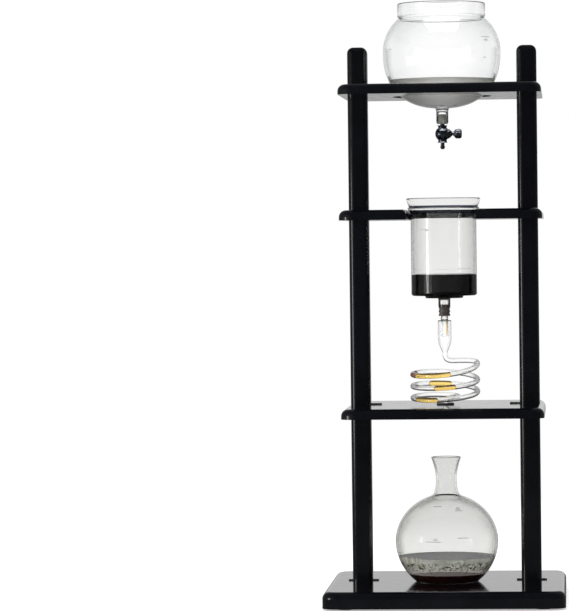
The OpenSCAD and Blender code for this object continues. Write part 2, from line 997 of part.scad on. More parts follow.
module filter_seal() {
    r = brew_in - run;
    color("#202122")
        translate([0, 0, filter_z])
            rotate_extrude()
                polygon([
                    [r - seal_w, 0],
                    [r - 1.7, 0],
                    [r, 1.7],
                    [r, filter_t],
                    [r - seal_w, filter_t]
                ]);
}

module coffee_bed() {
    r = brew_in - liquid_gap;
    color("#0f0b0a")
        translate([0, 0, bed_z + liquid_gap])
            cylinder(r = r, h = bed_h);
    color("#0f0b0a")
        translate([0, 0, boss_z + 2 + liquid_gap])
            cylinder(r = boss_r - 2.6 - liquid_gap, h = filter_z - boss_z - 2 - 2 * liquid_gap);
}

// The rubber joint: a plug into the stem's bore, three ribs, and a socket for the tube
module drip_joint() {
    spigot = 2.5;
    groove = 0.6;
    rib = joint_len / 5;
    outer = stem_r - 0.3;
    color("#46423f")
        translate([0, 0, joint_end])
            rotate_extrude()
                polygon(concat(
                    [[drip_r + run, 0]],
                    [for (i = [0 : 4])
                        each [
                            [outer - (i % 2) * groove, i * rib + (i > 0 ? 0.01 : 0)],
                            [outer - (i % 2) * groove, (i + 1) * rib - (i == 4 ? run : 0)]
                        ]
                    ],
                    [
                        [stem_bore - run, joint_len - run],
                        [stem_bore - run, joint_len + spigot],
                        [drip_bore, joint_len + spigot],
                        [drip_bore, tube_grip],
                        [drip_r + run, tube_grip]
                    ]
                ));
}

module drip_tube() {
    color("#dfe8ea", 0.35)
        translate([0, 0, drip_end])
            difference() {
                cylinder(r = drip_r, h = joint_end + tube_grip - run - drip_end);
                translate([0, 0, -cut])
                    cylinder(r = drip_bore, h = joint_end + tube_grip - drip_end + 2 * cut);
            }
}

// ---- Spiral ----

coil_steps = 24;
lead_steps = 12;
tube_sides = 8;

// A point on the coil after a number of turns, counted from the right towards the front. Its
// first half turn comes down from a little higher.
function coil_point(turn) =
    let (
        x = coil_r * cos(360 * turn),
        y = -coil_r * sin(360 * turn),
        rise = first_rise * pow(max(0, 1 - 2 * turn), 2)
    )
        [x, y, coil_z - coil_pitch * turn + y * tan(coil_lean) + rise];

function coil_heading(turn) = unit(coil_point(turn + 0.01) - coil_point(turn - 0.01));

// The tube's path: down from the funnel, out to the coil, round, and in to the outlet
lead_way = [cos(lead_turn), sin(lead_turn), 0];
lead_foot = [0, 0, coil_z + lead_level];
lead_in = concat(
    curve([0, 0, funnel_z - 1], lead_foot + [0, 0, lead_drop * 0.2],
        lead_foot + lead_bend * 0.3 * lead_way, lead_foot + lead_bend * lead_way, lead_steps / 2),
    curve(lead_foot + lead_bend * lead_way, lead_foot + 2 * lead_bend * lead_way,
        coil_point(0) - lead_sweep * coil_heading(0), coil_point(0), lead_steps));
coil_count = floor(coil_turns * coil_steps);
coil_path = [for (i = [0 : coil_count - 1]) coil_point(coil_turns * i / coil_count)];
lead_out = curve(coil_point(coil_turns), coil_point(coil_turns) + run_out * coil_heading(coil_turns),
    [0, 0, outlet_top + run_out_rise], [0, 0, outlet_top + 1], lead_steps);
spiral_path = concat([[0, 0, funnel_z]], lead_in, coil_path, lead_out,
    [[0, 0, outlet_top + 1], [0, 0, outlet_top]]);

// Least gap from a tube to itself: rings less than half a turn apart are its own run
function self_gap(path, r, skip) = min([
    for (i = [0 : len(path) - 1 - skip], j = [i + skip : len(path) - 1])
        norm(path[i] - path[j]) - 2 * r
]);
echo(least_gap_of_the_coil = self_gap(spiral_path, coil_tube_r, coil_steps / 2));

// Triangles between two rings of points, the second one a step further along
function band(a, b, sides) = [
    for (k = [0 : sides - 1])
        let (n = (k + 1) % sides)
            each [[a + k, b + k, a + n], [a + n, b + k, b + n]]
];

// A hollow tube with open ends along a path, as one closed skin
module swept_tube(path, r_out, r_in, sides) {
    n = len(path);
    s = side_vectors(path);
    outer = [for (i = [0 : n - 1]) each ring(path[i], direction(path, i), s[i], r_out, sides)];
    inner = [for (i = [0 : n - 1]) each ring(path[i], direction(path, i), s[i], r_in, sides)];
    shift = n * sides;
    polyhedron(
        points = concat(outer, inner),
        faces = concat(
            [for (i = [0 : n - 2]) each band(i * sides, (i + 1) * sides, sides)],
            [for (i = [0 : n - 2]) each
                [for (f = band(shift + i * sides, shift + (i + 1) * sides, sides)) [f[2], f[1], f[0]]]],
            band(shift, 0, sides),
            band((n - 1) * sides, shift + (n - 1) * sides, sides)
        )
    );
}

// A solid rod along a path
module swept_rod(path, r, sides) {
    n = len(path);
    s = side_vectors(path, 0, [0, 0, 1]);
    polyhedron(
        points = [for (i = [0 : n - 1]) each ring(path[i], direction(path, i), s[i], r, sides)],
        faces = concat(
            [for (i = [0 : n - 2]) each band(i * sides, (i + 1) * sides, sides)],
            [[for (k = [0 : sides - 1]) k]],
            [[for (k = [sides - 1 : -1 : 0]) (n - 1) * sides + k]]
        )
    );
}

// The spiral is glass in three fused lengths: the funnel, the coiled tube and the outlet
module spiral_funnel() {
    outer = funnel_r;
    inner = funnel_r - funnel_wall;
    inside = funnel_side(coil_bore, inner);
    color("#dfe8ea", 0.35)
        rotate_extrude()
            polygon(concat(
                funnel_side(coil_tube_r, outer),
                [
                    [outer, funnel_top - 0.3],
                    [outer - 0.3, funnel_top],
                    [inner, funnel_top]
                ],
                [for (i = [len(inside) - 1 : -1 : 0]) inside[i]]
            ));
}

// Side of the funnel's round-bellied cone, from radius r0 at its foot to radius r1 at its top
function funnel_side(r0, r1) = concat(
    curve([r0, funnel_z], [r0 + 0.7, funnel_z + funnel_cone * 0.15],
        [r1, funnel_z + funnel_cone * 0.58], [r1, funnel_z + funnel_cone], 8),
    [[r1, funnel_z + funnel_cone]]);

module spiral_tube() {
    color("#dfe8ea", 0.35)
        swept_tube(spiral_path, coil_tube_r, coil_bore, tube_sides);
}

module spiral_outlet() {
    color("#dfe8ea", 0.35)
        translate([0, 0, outlet_end])
            difference() {
                cylinder(r = outlet_r, h = outlet_top - outlet_end);
                translate([0, 0, -cut])
                    cylinder(r = coil_bore, h = outlet_top - outlet_end + 2 * cut);
            }
}

// Slugs of coffee on their way down: the ring of the coil where each starts, and its rings
slugs = [[5, 7], [28, 3], [39, 3], [54, 3]];

module spiral_coffee() {
    r = coil_bore * cos(180 / tube_sides) - liquid_gap;
    color("#d08a1e")
        for (slug = slugs)
            swept_rod([for (i = [0 : slug[1]]) coil_path[slug[0] + i]], r, tube_sides);
}

// ---- Flask ----

// Outline of the flask's side from its foot up to its lip, at a distance inside the glass
function flask_side(wall) =
    let (
        foot_z = base_top + (wall > 0 ? wall : 0),
        mid_z = base_top + flask_mid,
        r = flask_r - wall,
        low = -asin((mid_z - foot_z) / r),
        up = flask_up - wall,
        neck = flask_neck_r - wall,
        join = base_top + flask_mid + flask_up * 0.93,
        high = asin((join - mid_z) / up),
        top = base_top + flask_h,
        start = join + 6
    )
        concat(
            arc([0, mid_z], r, low, -3, 14),
            [for (i = [0 : 16]) let (t = high * i / 16) [r * cos(t), mid_z + up * sin(t)]],
            [for (i = [0 : 12])
                let (z = start + (top - start) * i / 12, dz = (z - base_top - flask_waist) * flask_flare)
                    [sqrt(neck * neck + dz * dz), z]]
        );

module flask() {
    outer = flask_side(0);
    inner = flask_side(flask_wall);
    color("#dfe8ea", 0.35)
        rotate_extrude()
            polygon(concat(
                [
                    [0, base_top + rest_gap + 1],
                    [flask_foot_r - 6, base_top + rest_gap + 0.6],
                    [flask_foot_r - 3, base_top + rest_gap]
                ],
                [for (p = outer) [p[0], max(p[1], base_top + rest_gap)]],
                [for (i = [len(inner) - 1 : -1 : 0]) inner[i]],
                [[0, base_top + flask_wall + 0.8]]
            ));
}

// The part of the flask's inside between two heights over its floor
module flask_fill(from, to) {
    inner = flask_side(flask_wall + liquid_gap);
    low = base_top + flask_wall + liquid_gap + from;
    high = base_top + flask_wall + to;
    mid_z = base_top + flask_mid;
    r = flask_r - flask_wall - liquid_gap;
    steps = 10;
    rotate_extrude()
        polygon(concat(
            [[0, high], [0, low + (from == 0 ? 0.9 : 0)]],
            [for (i = [0 : steps])
                let (z = low + (high - low) * i / steps) [sqrt(r * r - pow(mid_z - z, 2)), z]]
        ));
}

module flask_coffee() {
    color("#160c0a")
        flask_fill(0, coffee_h);
}

module flask_thin_brew() {
    color("#c9c6ba", 0.4)
        flask_fill(coffee_h, coffee_h + thin_brew_h);
}

base_board();
post_left();
post_right();
shelf_lower();
shelf_middle();
shelf_top();
foot_pads();
angle_brackets();
bracket_screws();
base_screws();
spiral_grommet();
reservoir_globe();
reservoir_water();
reservoir_stopper();
tap_body();
tap_nozzle();
tap_bonnet();
tap_packing();
tap_spindle();
tap_knob();
knob_screw();
brew_cylinder();
filter_disc();
filter_seal();
coffee_bed();
drip_joint();
drip_tube();
spiral_funnel();
spiral_tube();
spiral_outlet();
spiral_coffee();
flask();
flask_coffee();
flask_thin_brew();
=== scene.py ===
"""Cold drip coffee tower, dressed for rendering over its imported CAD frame.

Sizes are millimetres in the frame's own axes (x right, y back, z up, floor at z = 0) and
become metres where a mesh is made. Every sub-assembly is a class whose dataclass fields
hold its sizes; heights that the CAD fixes are read from the CAD nodes' boxes.
"""

import logging
import math
from dataclasses import dataclass
from enum import Enum
from typing import Callable, Sequence

import bpy
import numpy as np
from mathutils import Matrix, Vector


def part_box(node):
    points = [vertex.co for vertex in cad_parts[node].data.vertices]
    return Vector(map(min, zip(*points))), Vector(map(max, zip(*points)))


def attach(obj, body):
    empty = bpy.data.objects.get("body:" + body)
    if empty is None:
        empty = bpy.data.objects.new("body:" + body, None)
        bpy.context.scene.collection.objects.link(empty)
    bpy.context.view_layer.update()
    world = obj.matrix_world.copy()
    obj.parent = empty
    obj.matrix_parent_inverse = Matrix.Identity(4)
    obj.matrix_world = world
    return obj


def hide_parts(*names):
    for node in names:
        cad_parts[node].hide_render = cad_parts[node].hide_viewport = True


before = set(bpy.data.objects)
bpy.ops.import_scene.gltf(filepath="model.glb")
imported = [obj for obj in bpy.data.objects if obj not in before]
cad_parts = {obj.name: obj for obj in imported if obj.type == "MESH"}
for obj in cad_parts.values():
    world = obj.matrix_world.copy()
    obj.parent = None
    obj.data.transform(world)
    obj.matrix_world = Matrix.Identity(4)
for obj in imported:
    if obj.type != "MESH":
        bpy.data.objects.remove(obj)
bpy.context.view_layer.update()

log = logging.getLogger("drip_tower")

MM = 0.001
"""Metres in a millimetre."""

VIEW_TURN = 1.98
"""Degrees by which the photograph's camera stands to the right of the tower's front."""

INTO_WALL = 0.15
"""How far a filling reaches into its glass, so that light bends once."""

TOWER_MIDDLE = 0.33
"""The height in metres that the lamps face."""

Socket = bpy.types.NodeSocket
Tree = bpy.types.ShaderNodeTree
Value = Socket | float
Row = Sequence[float]
Stops = Sequence[tuple[float, str]]
"""Places along a ramp and the hex colours there."""
Arrays = tuple[np.ndarray, list[np.ndarray]]
"""Points in mm, shaped (n, 3), and groups of faces with equally many corners each."""
RadiusAt = Callable[[np.ndarray], np.ndarray]
"""A wall's outer radius at a height."""


# ---------------------------------------------------------------- numbers and outlines


def linear(hex_colour: str) -> tuple[float, float, float, float]:
    """Turns an sRGB hex colour into linear RGBA with an alpha of 1.

    Each channel c becomes c / 12.92 up to 0.04045 and ((c + 0.055) / 1.055) ** 2.4 above.

    Args:
        hex_colour: The colour as "#rrggbb".

    Returns:
        The linear colour.
    """
    channels = np.array(list(bytes.fromhex(hex_colour[1:]))) / 255.0
    low, high = channels / 12.92, ((channels + 0.055) / 1.055) ** 2.4
    red, green, blue = np.where(channels <= 0.04045, low, high)
    return float(red), float(green), float(blue), 1.0


def low_z(node: str) -> float:
    """Returns the lowest height of a CAD node, in mm."""
    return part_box(node)[0].z / MM


def high_z(node: str) -> float:
    """Returns the highest height of a CAD node, in mm."""
    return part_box(node)[1].z / MM


def oval(half: Row, power: float, centre: float, ends: Row, steps: int) -> np.ndarray:
    """Works out the side of a superellipse of revolution.

    At angle t the radius is across * |cos t| ** (2 / power) and the height is
    centre + sign(t) * rise * |sin t| ** (2 / power).

    Args:
        half: The half width across and the half height, the rise.
        power: 2 for an ellipse, more for a squarer side.
        centre: The height of the widest place.
        ends: The first and the last angle, in degrees over the widest place.
        steps: How many points.

    Returns:
        Points (radius, height), shaped (steps, 2).
    """
    t = np.radians(np.linspace(*ends, steps))
    radius = half[0] * np.abs(np.cos(t)) ** (2 / power)
    rise = np.sign(t) * half[1] * np.abs(np.sin(t)) ** (2 / power)
    return np.column_stack([radius, centre + rise])


def oval_angle(radius: float, across: float, power: float) -> float:
    """Returns the angle, in degrees, at which an oval has this radius."""
    return math.degrees(math.acos((radius / across) ** (power / 2)))


def bezier(points: Sequence[Row], steps: int) -> np.ndarray:
    """Works out a cubic curve: the four points weighted by (1-t)^3, 3t(1-t)^2, 3t^2(1-t), t^3.

    Args:
        points: The start, two handles and the end.
        steps: How many points the curve gets, both ends among them.

    Returns:
        Points shaped (steps, 2) or (steps, 3).
    """
    t = np.linspace(0, 1, steps)[:, None]
    p = np.asarray(points, float)
    u = 1 - t
    return u**3 * p[0] + 3 * u * u * t * p[1] + 3 * u * t * t * p[2] + t**3 * p[3]


def fillet(centre: Row, radius: float, start: float, end: float, steps: int = 9) -> np.ndarray:
    """Works out a round: centre + radius * (cos t, sin t).

    Args:
        centre: The round's middle as (radius, height).
        radius: Its own radius.
        start: The first angle in degrees, 0 being outwards and 90 up.
        end: The last angle.
        steps: How many points.

    Returns:
        Points (radius, height).
    """
    t = np.radians(np.linspace(start, end, steps))
    return np.asarray(centre, float) + radius * np.column_stack([np.cos(t), np.sin(t)])


def unit(way: np.ndarray) -> np.ndarray:
    """Returns a direction with a length of 1."""
    return way / np.linalg.norm(way)


def on_axis(z: np.ndarray) -> np.ndarray:
    """Returns places on the z axis at these heights."""
    return np.column_stack([np.zeros(len(z)), np.zeros(len(z)), z])


def round_wall(radius: np.ndarray, turn: np.ndarray, z: np.ndarray) -> np.ndarray:
    """Works out places round the z axis: (r sin a, -r cos a, z).

    Args:
        radius: How far from the axis.
        turn: The angle a in radians, from the tower's front to the right.
        z: The heights.

    Returns:
        The places, with x, y and z along a new last axis.
    """
    x, y, z = np.broadcast_arrays(radius * np.sin(turn), -radius * np.cos(turn), z)
    return np.stack([x, y, z], axis=-1)


# ---------------------------------------------------------------- meshes


def new_object(name: str, data: bpy.types.ID) -> bpy.types.Object:
    """Makes an object and links it to the scene.

    Args:
        name: Its name.
        data: Its mesh, lamp, camera or lettering.

    Returns:
        The object.
    """
    made = bpy.data.objects.new(name, data)
    bpy.context.scene.collection.objects.link(made)
    return made


def make_piece(
    name: str, points: np.ndarray, faces: Sequence[np.ndarray], sharp: float = 38.0
) -> bpy.types.Object:
    """Puts points and faces into a smooth mesh, its object at the origin.

    Args:
        name: The piece's name.
        points: Places in mm, shaped (n, 3).
        faces: Arrays of corner numbers, one row a face, all rows of an array equally long.
        sharp: Edges bent by more than this many degrees stay sharp.

    Returns:
        The new object, linked to the scene.
    """
    faces = [f for f in faces if len(f)]
    corners = np.concatenate([f.ravel() for f in faces])
    used, corners = np.unique(corners, return_inverse=True)
    sizes = np.concatenate([np.full(len(f), f.shape[1]) for f in faces])
    mesh = bpy.data.meshes.new(name)
    mesh.vertices.add(len(used))
    mesh.vertices.foreach_set("co", (points[used] * MM).astype(np.float32).ravel())
    mesh.loops.add(len(corners))
    mesh.loops.foreach_set("vertex_index", corners.astype(np.int32).ravel())
    mesh.polygons.add(len(sizes))
    mesh.polygons.foreach_set("loop_start", (np.cumsum(sizes) - sizes).astype(np.int32))
    mesh.update(calc_edges=True)
    mesh.validate()
    mesh.polygons.foreach_set("use_smooth", np.ones(len(mesh.polygons), bool))
    mesh.set_sharp_from_angle(angle=math.radians(sharp))
    return new_object(name, mesh)


def grid_faces(index: np.ndarray, wrap_rows: bool, wrap_columns: bool) -> list[np.ndarray]:
    """Joins a grid of point numbers into faces.

    Face (i, j) takes the points (i, j), (i, j+1), (i+1, j+1) and (i+1, j). Where a row is one
    point, a pole, the face loses its doubled corner and is a triangle.

    Args:
        index: Point numbers, shaped (rows, columns).
        wrap_rows: Whether the last row joins the first.
        wrap_columns: Whether the last column joins the first.

    Returns:
        The four-cornered faces and the three-cornered ones.
    """
    right, below = np.roll(index, -1, axis=1), np.roll(index, -1, axis=0)
    across = np.roll(right, -1, axis=0)
    quads = np.stack([index, right, across, below], axis=-1)
    quads = quads[: None if wrap_rows else -1, : None if wrap_columns else -1].reshape(-1, 4)
    top_pole, low_pole = quads[:, 0] == quads[:, 1], quads[:, 2] == quads[:, 3]
    over, under = quads[top_pole & ~low_pole], quads[low_pole & ~top_pole]
    return [quads[~top_pole & ~low_pole], np.concatenate([over[:, [0, 2, 3]], under[:, :3]])]


def outward(points: np.ndarray, faces: Sequence[np.ndarray]) -> Arrays:
    """Turns the faces' corners about where they point inwards.

    They do where a . (b x c), added up over the faces' fans, is below zero.

    Args:
        points: Places in mm, shaped (n, 3).
        faces: Arrays of corner numbers.

    Returns:
        The same points, and the faces pointing outwards.
    """
    total = 0.0
    for group in faces:
        for k in range(1, group.shape[1] - 1 if len(group) else 0):
            a, b, c = points[group[:, 0]], points[group[:, k]], points[group[:, k + 1]]
            total += float(np.einsum("ij,ij->i", a, np.cross(b, c)).sum())
    return points, [f[:, ::-1] if total < 0 else f for f in faces]


def skin(rings: np.ndarray, wrap_rows: bool, poles: np.ndarray | None = None) -> Arrays:
    """Joins rings of points into a closed skin.

    Args:
        rings: Places shaped (rings, points a ring, 3).
        wrap_rows: Whether the last ring joins the first.
        poles: Which rings are one point.

    Returns:
        The points, and the faces pointing outwards.
    """
    points = rings.reshape(-1, 3)
    index = np.arange(len(points)).reshape(rings.shape[:2])
    if poles is not None:
        index[poles] = index[poles, :1]
    return outward(points, grid_faces(index, wrap_rows, wrap_columns=True))


def revolve(
    name: str, profile: np.ndarray, segments: int = 160, sharp: float = 38.0
) -> bpy.types.Object:
    """Turns a closed profile round the z axis.

    Point (i, j) is (r_i cos a_j, r_i sin a_j, z_i) with a_j = 2 pi j / segments; a profile
    point on the axis is one pole.

    Args:
        name: The piece's name.
        profile: Points (radius, height) in mm round the wall's section.
        segments: How many steps round.
        sharp: As for make_piece.

    Returns:
        The piece.
    """
    ring = np.asarray(profile, float)
    ring = ring[np.linalg.norm(ring - np.roll(ring, 1, axis=0), axis=1) > 1e-6]
    turn = 2 * np.pi * np.arange(segments) / segments
    x, y = ring[:, :1] * np.cos(turn), ring[:, :1] * np.sin(turn)
    z = np.broadcast_to(ring[:, 1:], x.shape)
    return make_piece(name, *skin(np.stack([x, y, z], axis=-1), True, ring[:, 0] < 1e-6), sharp)


def sweep_points(path: np.ndarray, radii: np.ndarray, sides: int) -> np.ndarray:
    """Lays rings along a path: station + radius * (cos a * side + sin a * other side).

    The sides don't twist: a station's first side is the last one's with its part along the
    new heading taken off, and the other is heading x side.

    Args:
        path: Stations in mm, shaped (n, 3).
        radii: The ring's radius at each station.
        sides: How many points a ring has.

    Returns:
        Points shaped (n, sides, 3).
    """
    heading = np.gradient(path, axis=0)
    heading /= np.linalg.norm(heading, axis=1, keepdims=True)
    side = np.empty_like(path)
    last = np.array([1.0, 0.0, 0.0])
    for i, along in enumerate(heading):
        side[i] = last = unit(last - along * (last @ along))
    other = np.cross(heading, side)
    turn = (2 * np.pi * np.arange(sides) / sides)[None, :, None]
    ring = np.cos(turn) * side[:, None] + np.sin(turn) * other[:, None]
    return path[:, None] + np.asarray(radii)[:, None, None] * ring


def rod_arrays(path: np.ndarray, radius: float, sides: int, dome: float) -> Arrays:
    """Works out a solid rod with domed ends along a path.

    The radius at arc length s is radius * sqrt(1 - ((dome - s) / dome) ** 2) within dome of an
    end, and each end closes in a pole.

    Args:
        path: Stations in mm.
        radius: The rod's radius.
        sides: How many points a ring has.
        dome: How long each rounded end is.

    Returns:
        The points and the faces.
    """
    step = np.linalg.norm(np.diff(path, axis=0), axis=1)
    along = np.concatenate([[0], np.cumsum(step)])
    short = np.minimum(along, along[-1] - along)
    inside = np.clip((dome - short) / dome, 0, 1)
    rings = sweep_points(path, radius * np.sqrt(np.clip(1 - inside**2, 0, 1)), sides)
    return skin(rings, False, np.array([0, -1]))


def join_arrays(parts: Sequence[Arrays]) -> Arrays:
    """Puts several sets of points and faces into one.

    Args:
        parts: The sets.

    Returns:
        One set, each part's corner numbers moved on by the points before it.
    """
    starts = np.cumsum([0] + [len(p) for p, _ in parts[:-1]])
    faces = [f + start for start, (_, group) in zip(starts, parts) for f in group if len(f)]
    return np.concatenate([p for p, _ in parts]), faces


def beads(centres: np.ndarray, radii: np.ndarray, flat: float) -> Arrays:
    """Works out many small spheres at once: centre + radius * (cos b cos a, cos b sin a, sin b).

    Args:
        centres: Their middles in mm, shaped (n, 3).
        radii: Their radii.
        flat: Height as a share of width.

    Returns:
        The points and the faces.
    """
    columns, rows = 10, 7
    turn = 2 * np.pi * np.arange(columns) / columns
    lift = np.radians(np.linspace(-90, 90, rows))[:, None]
    across, up = np.cos(lift), np.sin(lift) * flat
    ball = np.stack([across * np.cos(turn), across * np.sin(turn), up + 0 * turn], axis=-1)
    points = (centres[:, None, None] + radii[:, None, None, None] * ball).reshape(-1, 3)
    index = np.arange(rows * columns).reshape(rows, columns)
    index[[0, -1]] = index[[0, -1], :1]
    shift = index.size * np.arange(len(centres))[:, None, None]
    groups = grid_faces(index, wrap_rows=False, wrap_columns=True)
    return outward(points, [(f + shift).reshape(-1, f.shape[1]) for f in groups])


def wall_patch(radius_at: RadiusAt, turns: Row, heights: Row) -> Arrays:
    """Works out a thin printed mark on a wall of revolution.

    Its face stands 0.06 mm off the wall, and a second skin 0.05 mm nearer closes it.

    Args:
        radius_at: The wall's outer radius at a height.
        turns: The mark's ends, in degrees from the photograph's view, to the right.
        heights: Its lower and upper edges in mm.

    Returns:
        The points and the faces.
    """
    columns, rows, lift, thick = 16, 3, 0.06, 0.05
    a = np.radians(np.linspace(*turns, columns) + VIEW_TURN)[None, :]
    z = np.linspace(*heights, rows)[:, None]
    front, back = (round_wall(radius_at(z) + off, a, z) for off in (lift, lift - thick))
    grid = np.concatenate([front, back[::-1]])
    index = np.arange(grid[..., 0].size).reshape(grid.shape[:2])
    quads, _ = grid_faces(index, wrap_rows=True, wrap_columns=False)
    return outward(grid.reshape(-1, 3), [quads, np.stack([index[:, 0], index[::-1, -1]])])


def numeral_arrays(
    text: str, size: float, radius_at: RadiusAt, turn: float, height: float
) -> Arrays:
    """Works out a plain printed number on a wall of revolution.

    The lettering's x is laid off as an angle x / r round the wall, its y as height.

    Args:
        text: The digits.
        size: Their height in mm.
        radius_at: The wall's outer radius at a height.
        turn: The middle's place, in degrees from the photograph's view.
        height: The foot of the digits in mm.

    Returns:
        The points and the faces.
    """
    em, thick, lift = 1.35, 0.025, 0.045
    curve = bpy.data.curves.new("numeral", "FONT")
    curve.body, curve.size, curve.align_x, curve.extrude = text, size * em, "CENTER", thick
    holder = new_object("numeral", curve)
    bpy.context.view_layer.update()
    seen = holder.evaluated_get(bpy.context.evaluated_depsgraph_get())
    mesh = bpy.data.meshes.new_from_object(seen)
    flat = np.empty(len(mesh.vertices) * 3)
    mesh.vertices.foreach_get("co", flat)
    corners = [tuple(p.vertices) for p in mesh.polygons]
    faces = [np.array([c for c in corners if len(c) == n]) for n in (3, 4)]
    bpy.data.objects.remove(holder)
    bpy.data.curves.remove(curve)
    bpy.data.meshes.remove(mesh)
    x, y, out = flat.reshape(-1, 3).T
    wall = radius_at(height + y)
    points = round_wall(wall + lift + out, math.radians(turn + VIEW_TURN) + x / wall, height + y)
    return points, faces


# ---------------------------------------------------------------- finishes


def add_node(
    tree: Tree, kind: str, inputs: dict[str | int, object] | None = None, **settings: object
) -> bpy.types.Node:
    """Adds a node with its settings and links.

    Args:
        tree: The node tree.
        kind: The node's type name.
        inputs: A value, or an output socket to link from, for each named or numbered input.
        settings: The node's own properties.

    Returns:
        The node.
    """
    node = tree.nodes.new(kind)
    for name, value in settings.items():
        setattr(node, name, value)
    for key, value in (inputs or {}).items():
        if isinstance(value, bpy.types.NodeSocket):
            tree.links.new(value, node.inputs[key])
        else:
            node.inputs[key].default_value = value
    return node


def bare_tree(owner: bpy.types.Material | bpy.types.World) -> Tree:
    """Switches a material or a world to nodes.

    Args:
        owner: The material or the world.

    Returns:
        Its node tree, emptied.
    """
    owner.use_nodes = True
    owner.node_tree.nodes.clear()
    return owner.node_tree


def principled(tree: Tree, colour: Socket, rough: Value, **inputs: object) -> Socket:
    """Adds the general shader.

    Args:
        tree: The node tree.
        colour: Its base colour.
        rough: Its roughness.
        inputs: Its other inputs, written with _ for a space.

    Returns:
        The shader socket.
    """
    named = {key.replace("_", " "): value for key, value in inputs.items()}
    every = {"Base Color": colour, "Roughness": rough, **named}
    return add_node(tree, "ShaderNodeBsdfPrincipled", every).outputs["BSDF"]


def mix_shader(tree: Tree, share: Value, first: Socket, second: Socket) -> Socket:
    """Blends two shaders: first where share is 0, second where it is 1."""
    node = add_node(tree, "ShaderNodeMixShader", {0: share, 1: first, 2: second})
    return node.outputs["Shader"]


def ramp(tree: Tree, factor: Socket, stops: Stops) -> Socket:
    """Adds a colour ramp.

    Args:
        tree: The node tree.
        factor: What drives it.
        stops: Places from 0 to 1 and their hex colours.

    Returns:
        The colour socket.
    """
    node = add_node(tree, "ShaderNodeValToRGB", {"Fac": factor})
    elements = node.color_ramp.elements
    while len(elements) < len(stops):
        elements.new(1.0)
    for element, (place, colour) in zip(elements, stops):
        element.position, element.color = place, linear(colour)
    return node.outputs["Color"]


def noise(tree: Tree, grain: float, detail: float = 3.0, stretch: Row = (1, 1, 1)) -> Socket:
    """Adds a noise pattern on Object coordinates.

    Args:
        tree: The node tree.
        grain: The size of a lump in mm; the noise scale is 1000 / grain a metre.
        detail: How many finer layers it has.
        stretch: How much finer the lumps are along each axis.

    Returns:
        The pattern's value socket, from 0 to 1.
    """
    place = add_node(tree, "ShaderNodeTexCoord").outputs["Object"]
    placed = add_node(tree, "ShaderNodeMapping", {"Vector": place, "Scale": stretch})
    inputs = {"Vector": placed.outputs["Vector"], "Scale": 1 / (grain * MM), "Detail": detail}
    return add_node(tree, "ShaderNodeTexNoise", inputs).outputs["Fac"]


def span(
    tree: Tree, value: Socket, low: float, high: float, start: float = 0.3, end: float = 0.7
) -> Socket:
    """Maps a stretch of a value onto another, and holds it level outside.

    Args:
        tree: The node tree.
        value: The value.
        low: What start becomes.
        high: What end becomes.
        start: Where the stretch starts; a pattern's middle part is 0.3 to 0.7.
        end: Where it ends.

    Returns:
        The mapped value.
    """
    inputs = {"Value": value, "From Min": start, "From Max": end, "To Min": low, "To Max": high}
    return add_node(tree, "ShaderNodeMapRange", inputs).outputs["Result"]


def math_node(tree: Tree, operation: str, first: Value, second: Value) -> Socket:
    """Adds a sum of two values: MAXIMUM, MULTIPLY, ADD and so on."""
    return add_node(tree, "ShaderNodeMath", {0: first, 1: second}, operation=operation).outputs[0]


def mix_value(tree: Tree, share: Socket, low: Value, high: Value) -> Socket:
    """Returns low * (1 - share) + high * share."""
    inputs = {0: share, 2: low, 3: high}
    return add_node(tree, "ShaderNodeMix", inputs, data_type="FLOAT").outputs[0]


def mix_colour(tree: Tree, share: Value, low: Socket, high: Socket, way: str = "MIX") -> Socket:
    """Mixes two colours, or multiplies low by high where way is MULTIPLY."""
    inputs = {0: share, 6: low, 7: high}
    return add_node(tree, "ShaderNodeMix", inputs, data_type="RGBA", blend_type=way).outputs[2]


def over_height(tree: Tree, foot: float, head: float, low: float, high: float) -> Socket:
    """Adds a value that goes from low to high between two heights.

    Args:
        tree: The node tree.
        foot: The lower height over the floor in mm, the object's own z.
        head: The upper height.
        low: The value up to foot.
        high: The value from head on.

    Returns:
        The value.
    """
    place = add_node(tree, "ShaderNodeTexCoord").outputs["Object"]
    z = add_node(tree, "ShaderNodeSeparateXYZ", {"Vector": place}).outputs["Z"]
    return span(tree, z, low, high, foot * MM, head * MM)


def by_height(tree: Tree, stops: Stops) -> Socket:
    """Adds a colour ramp over the height.

    Args:
        tree: The node tree.
        stops: Heights in mm, from the lowest up, and their hex colours.

    Returns:
        The colour socket.
    """
    low, high = stops[0][0], stops[-1][0]
    share = over_height(tree, low, high, 0.0, 1.0)
    return ramp(tree, share, [((z - low) / (high - low), colour) for z, colour in stops])


def bump(tree: Tree, height: Socket, depth: float) -> Socket:
    """Adds relief of a depth in mm, and returns its normal."""
    inputs = {"Height": height, "Distance": depth * MM, "Strength": 1.0}
    return add_node(tree, "ShaderNodeBump", inputs).outputs["Normal"]


def facing_away(tree: Tree) -> Socket:
    """Returns 1 - |cos t|, t being the angle between the ray and the surface's normal."""
    return add_node(tree, "ShaderNodeLayerWeight", {"Blend": 0.5}).outputs["Facing"]


def scattered(tree: Tree, colour: Socket, matt: Socket, share: Value, lit_first: bool) -> Socket:
    """Blends a matt shader with light that comes through in the same colour."""
    lit = add_node(tree, "ShaderNodeBsdfTranslucent", {"Color": colour}).outputs["BSDF"]
    return mix_shader(tree, share, *((lit, matt) if lit_first else (matt, lit)))


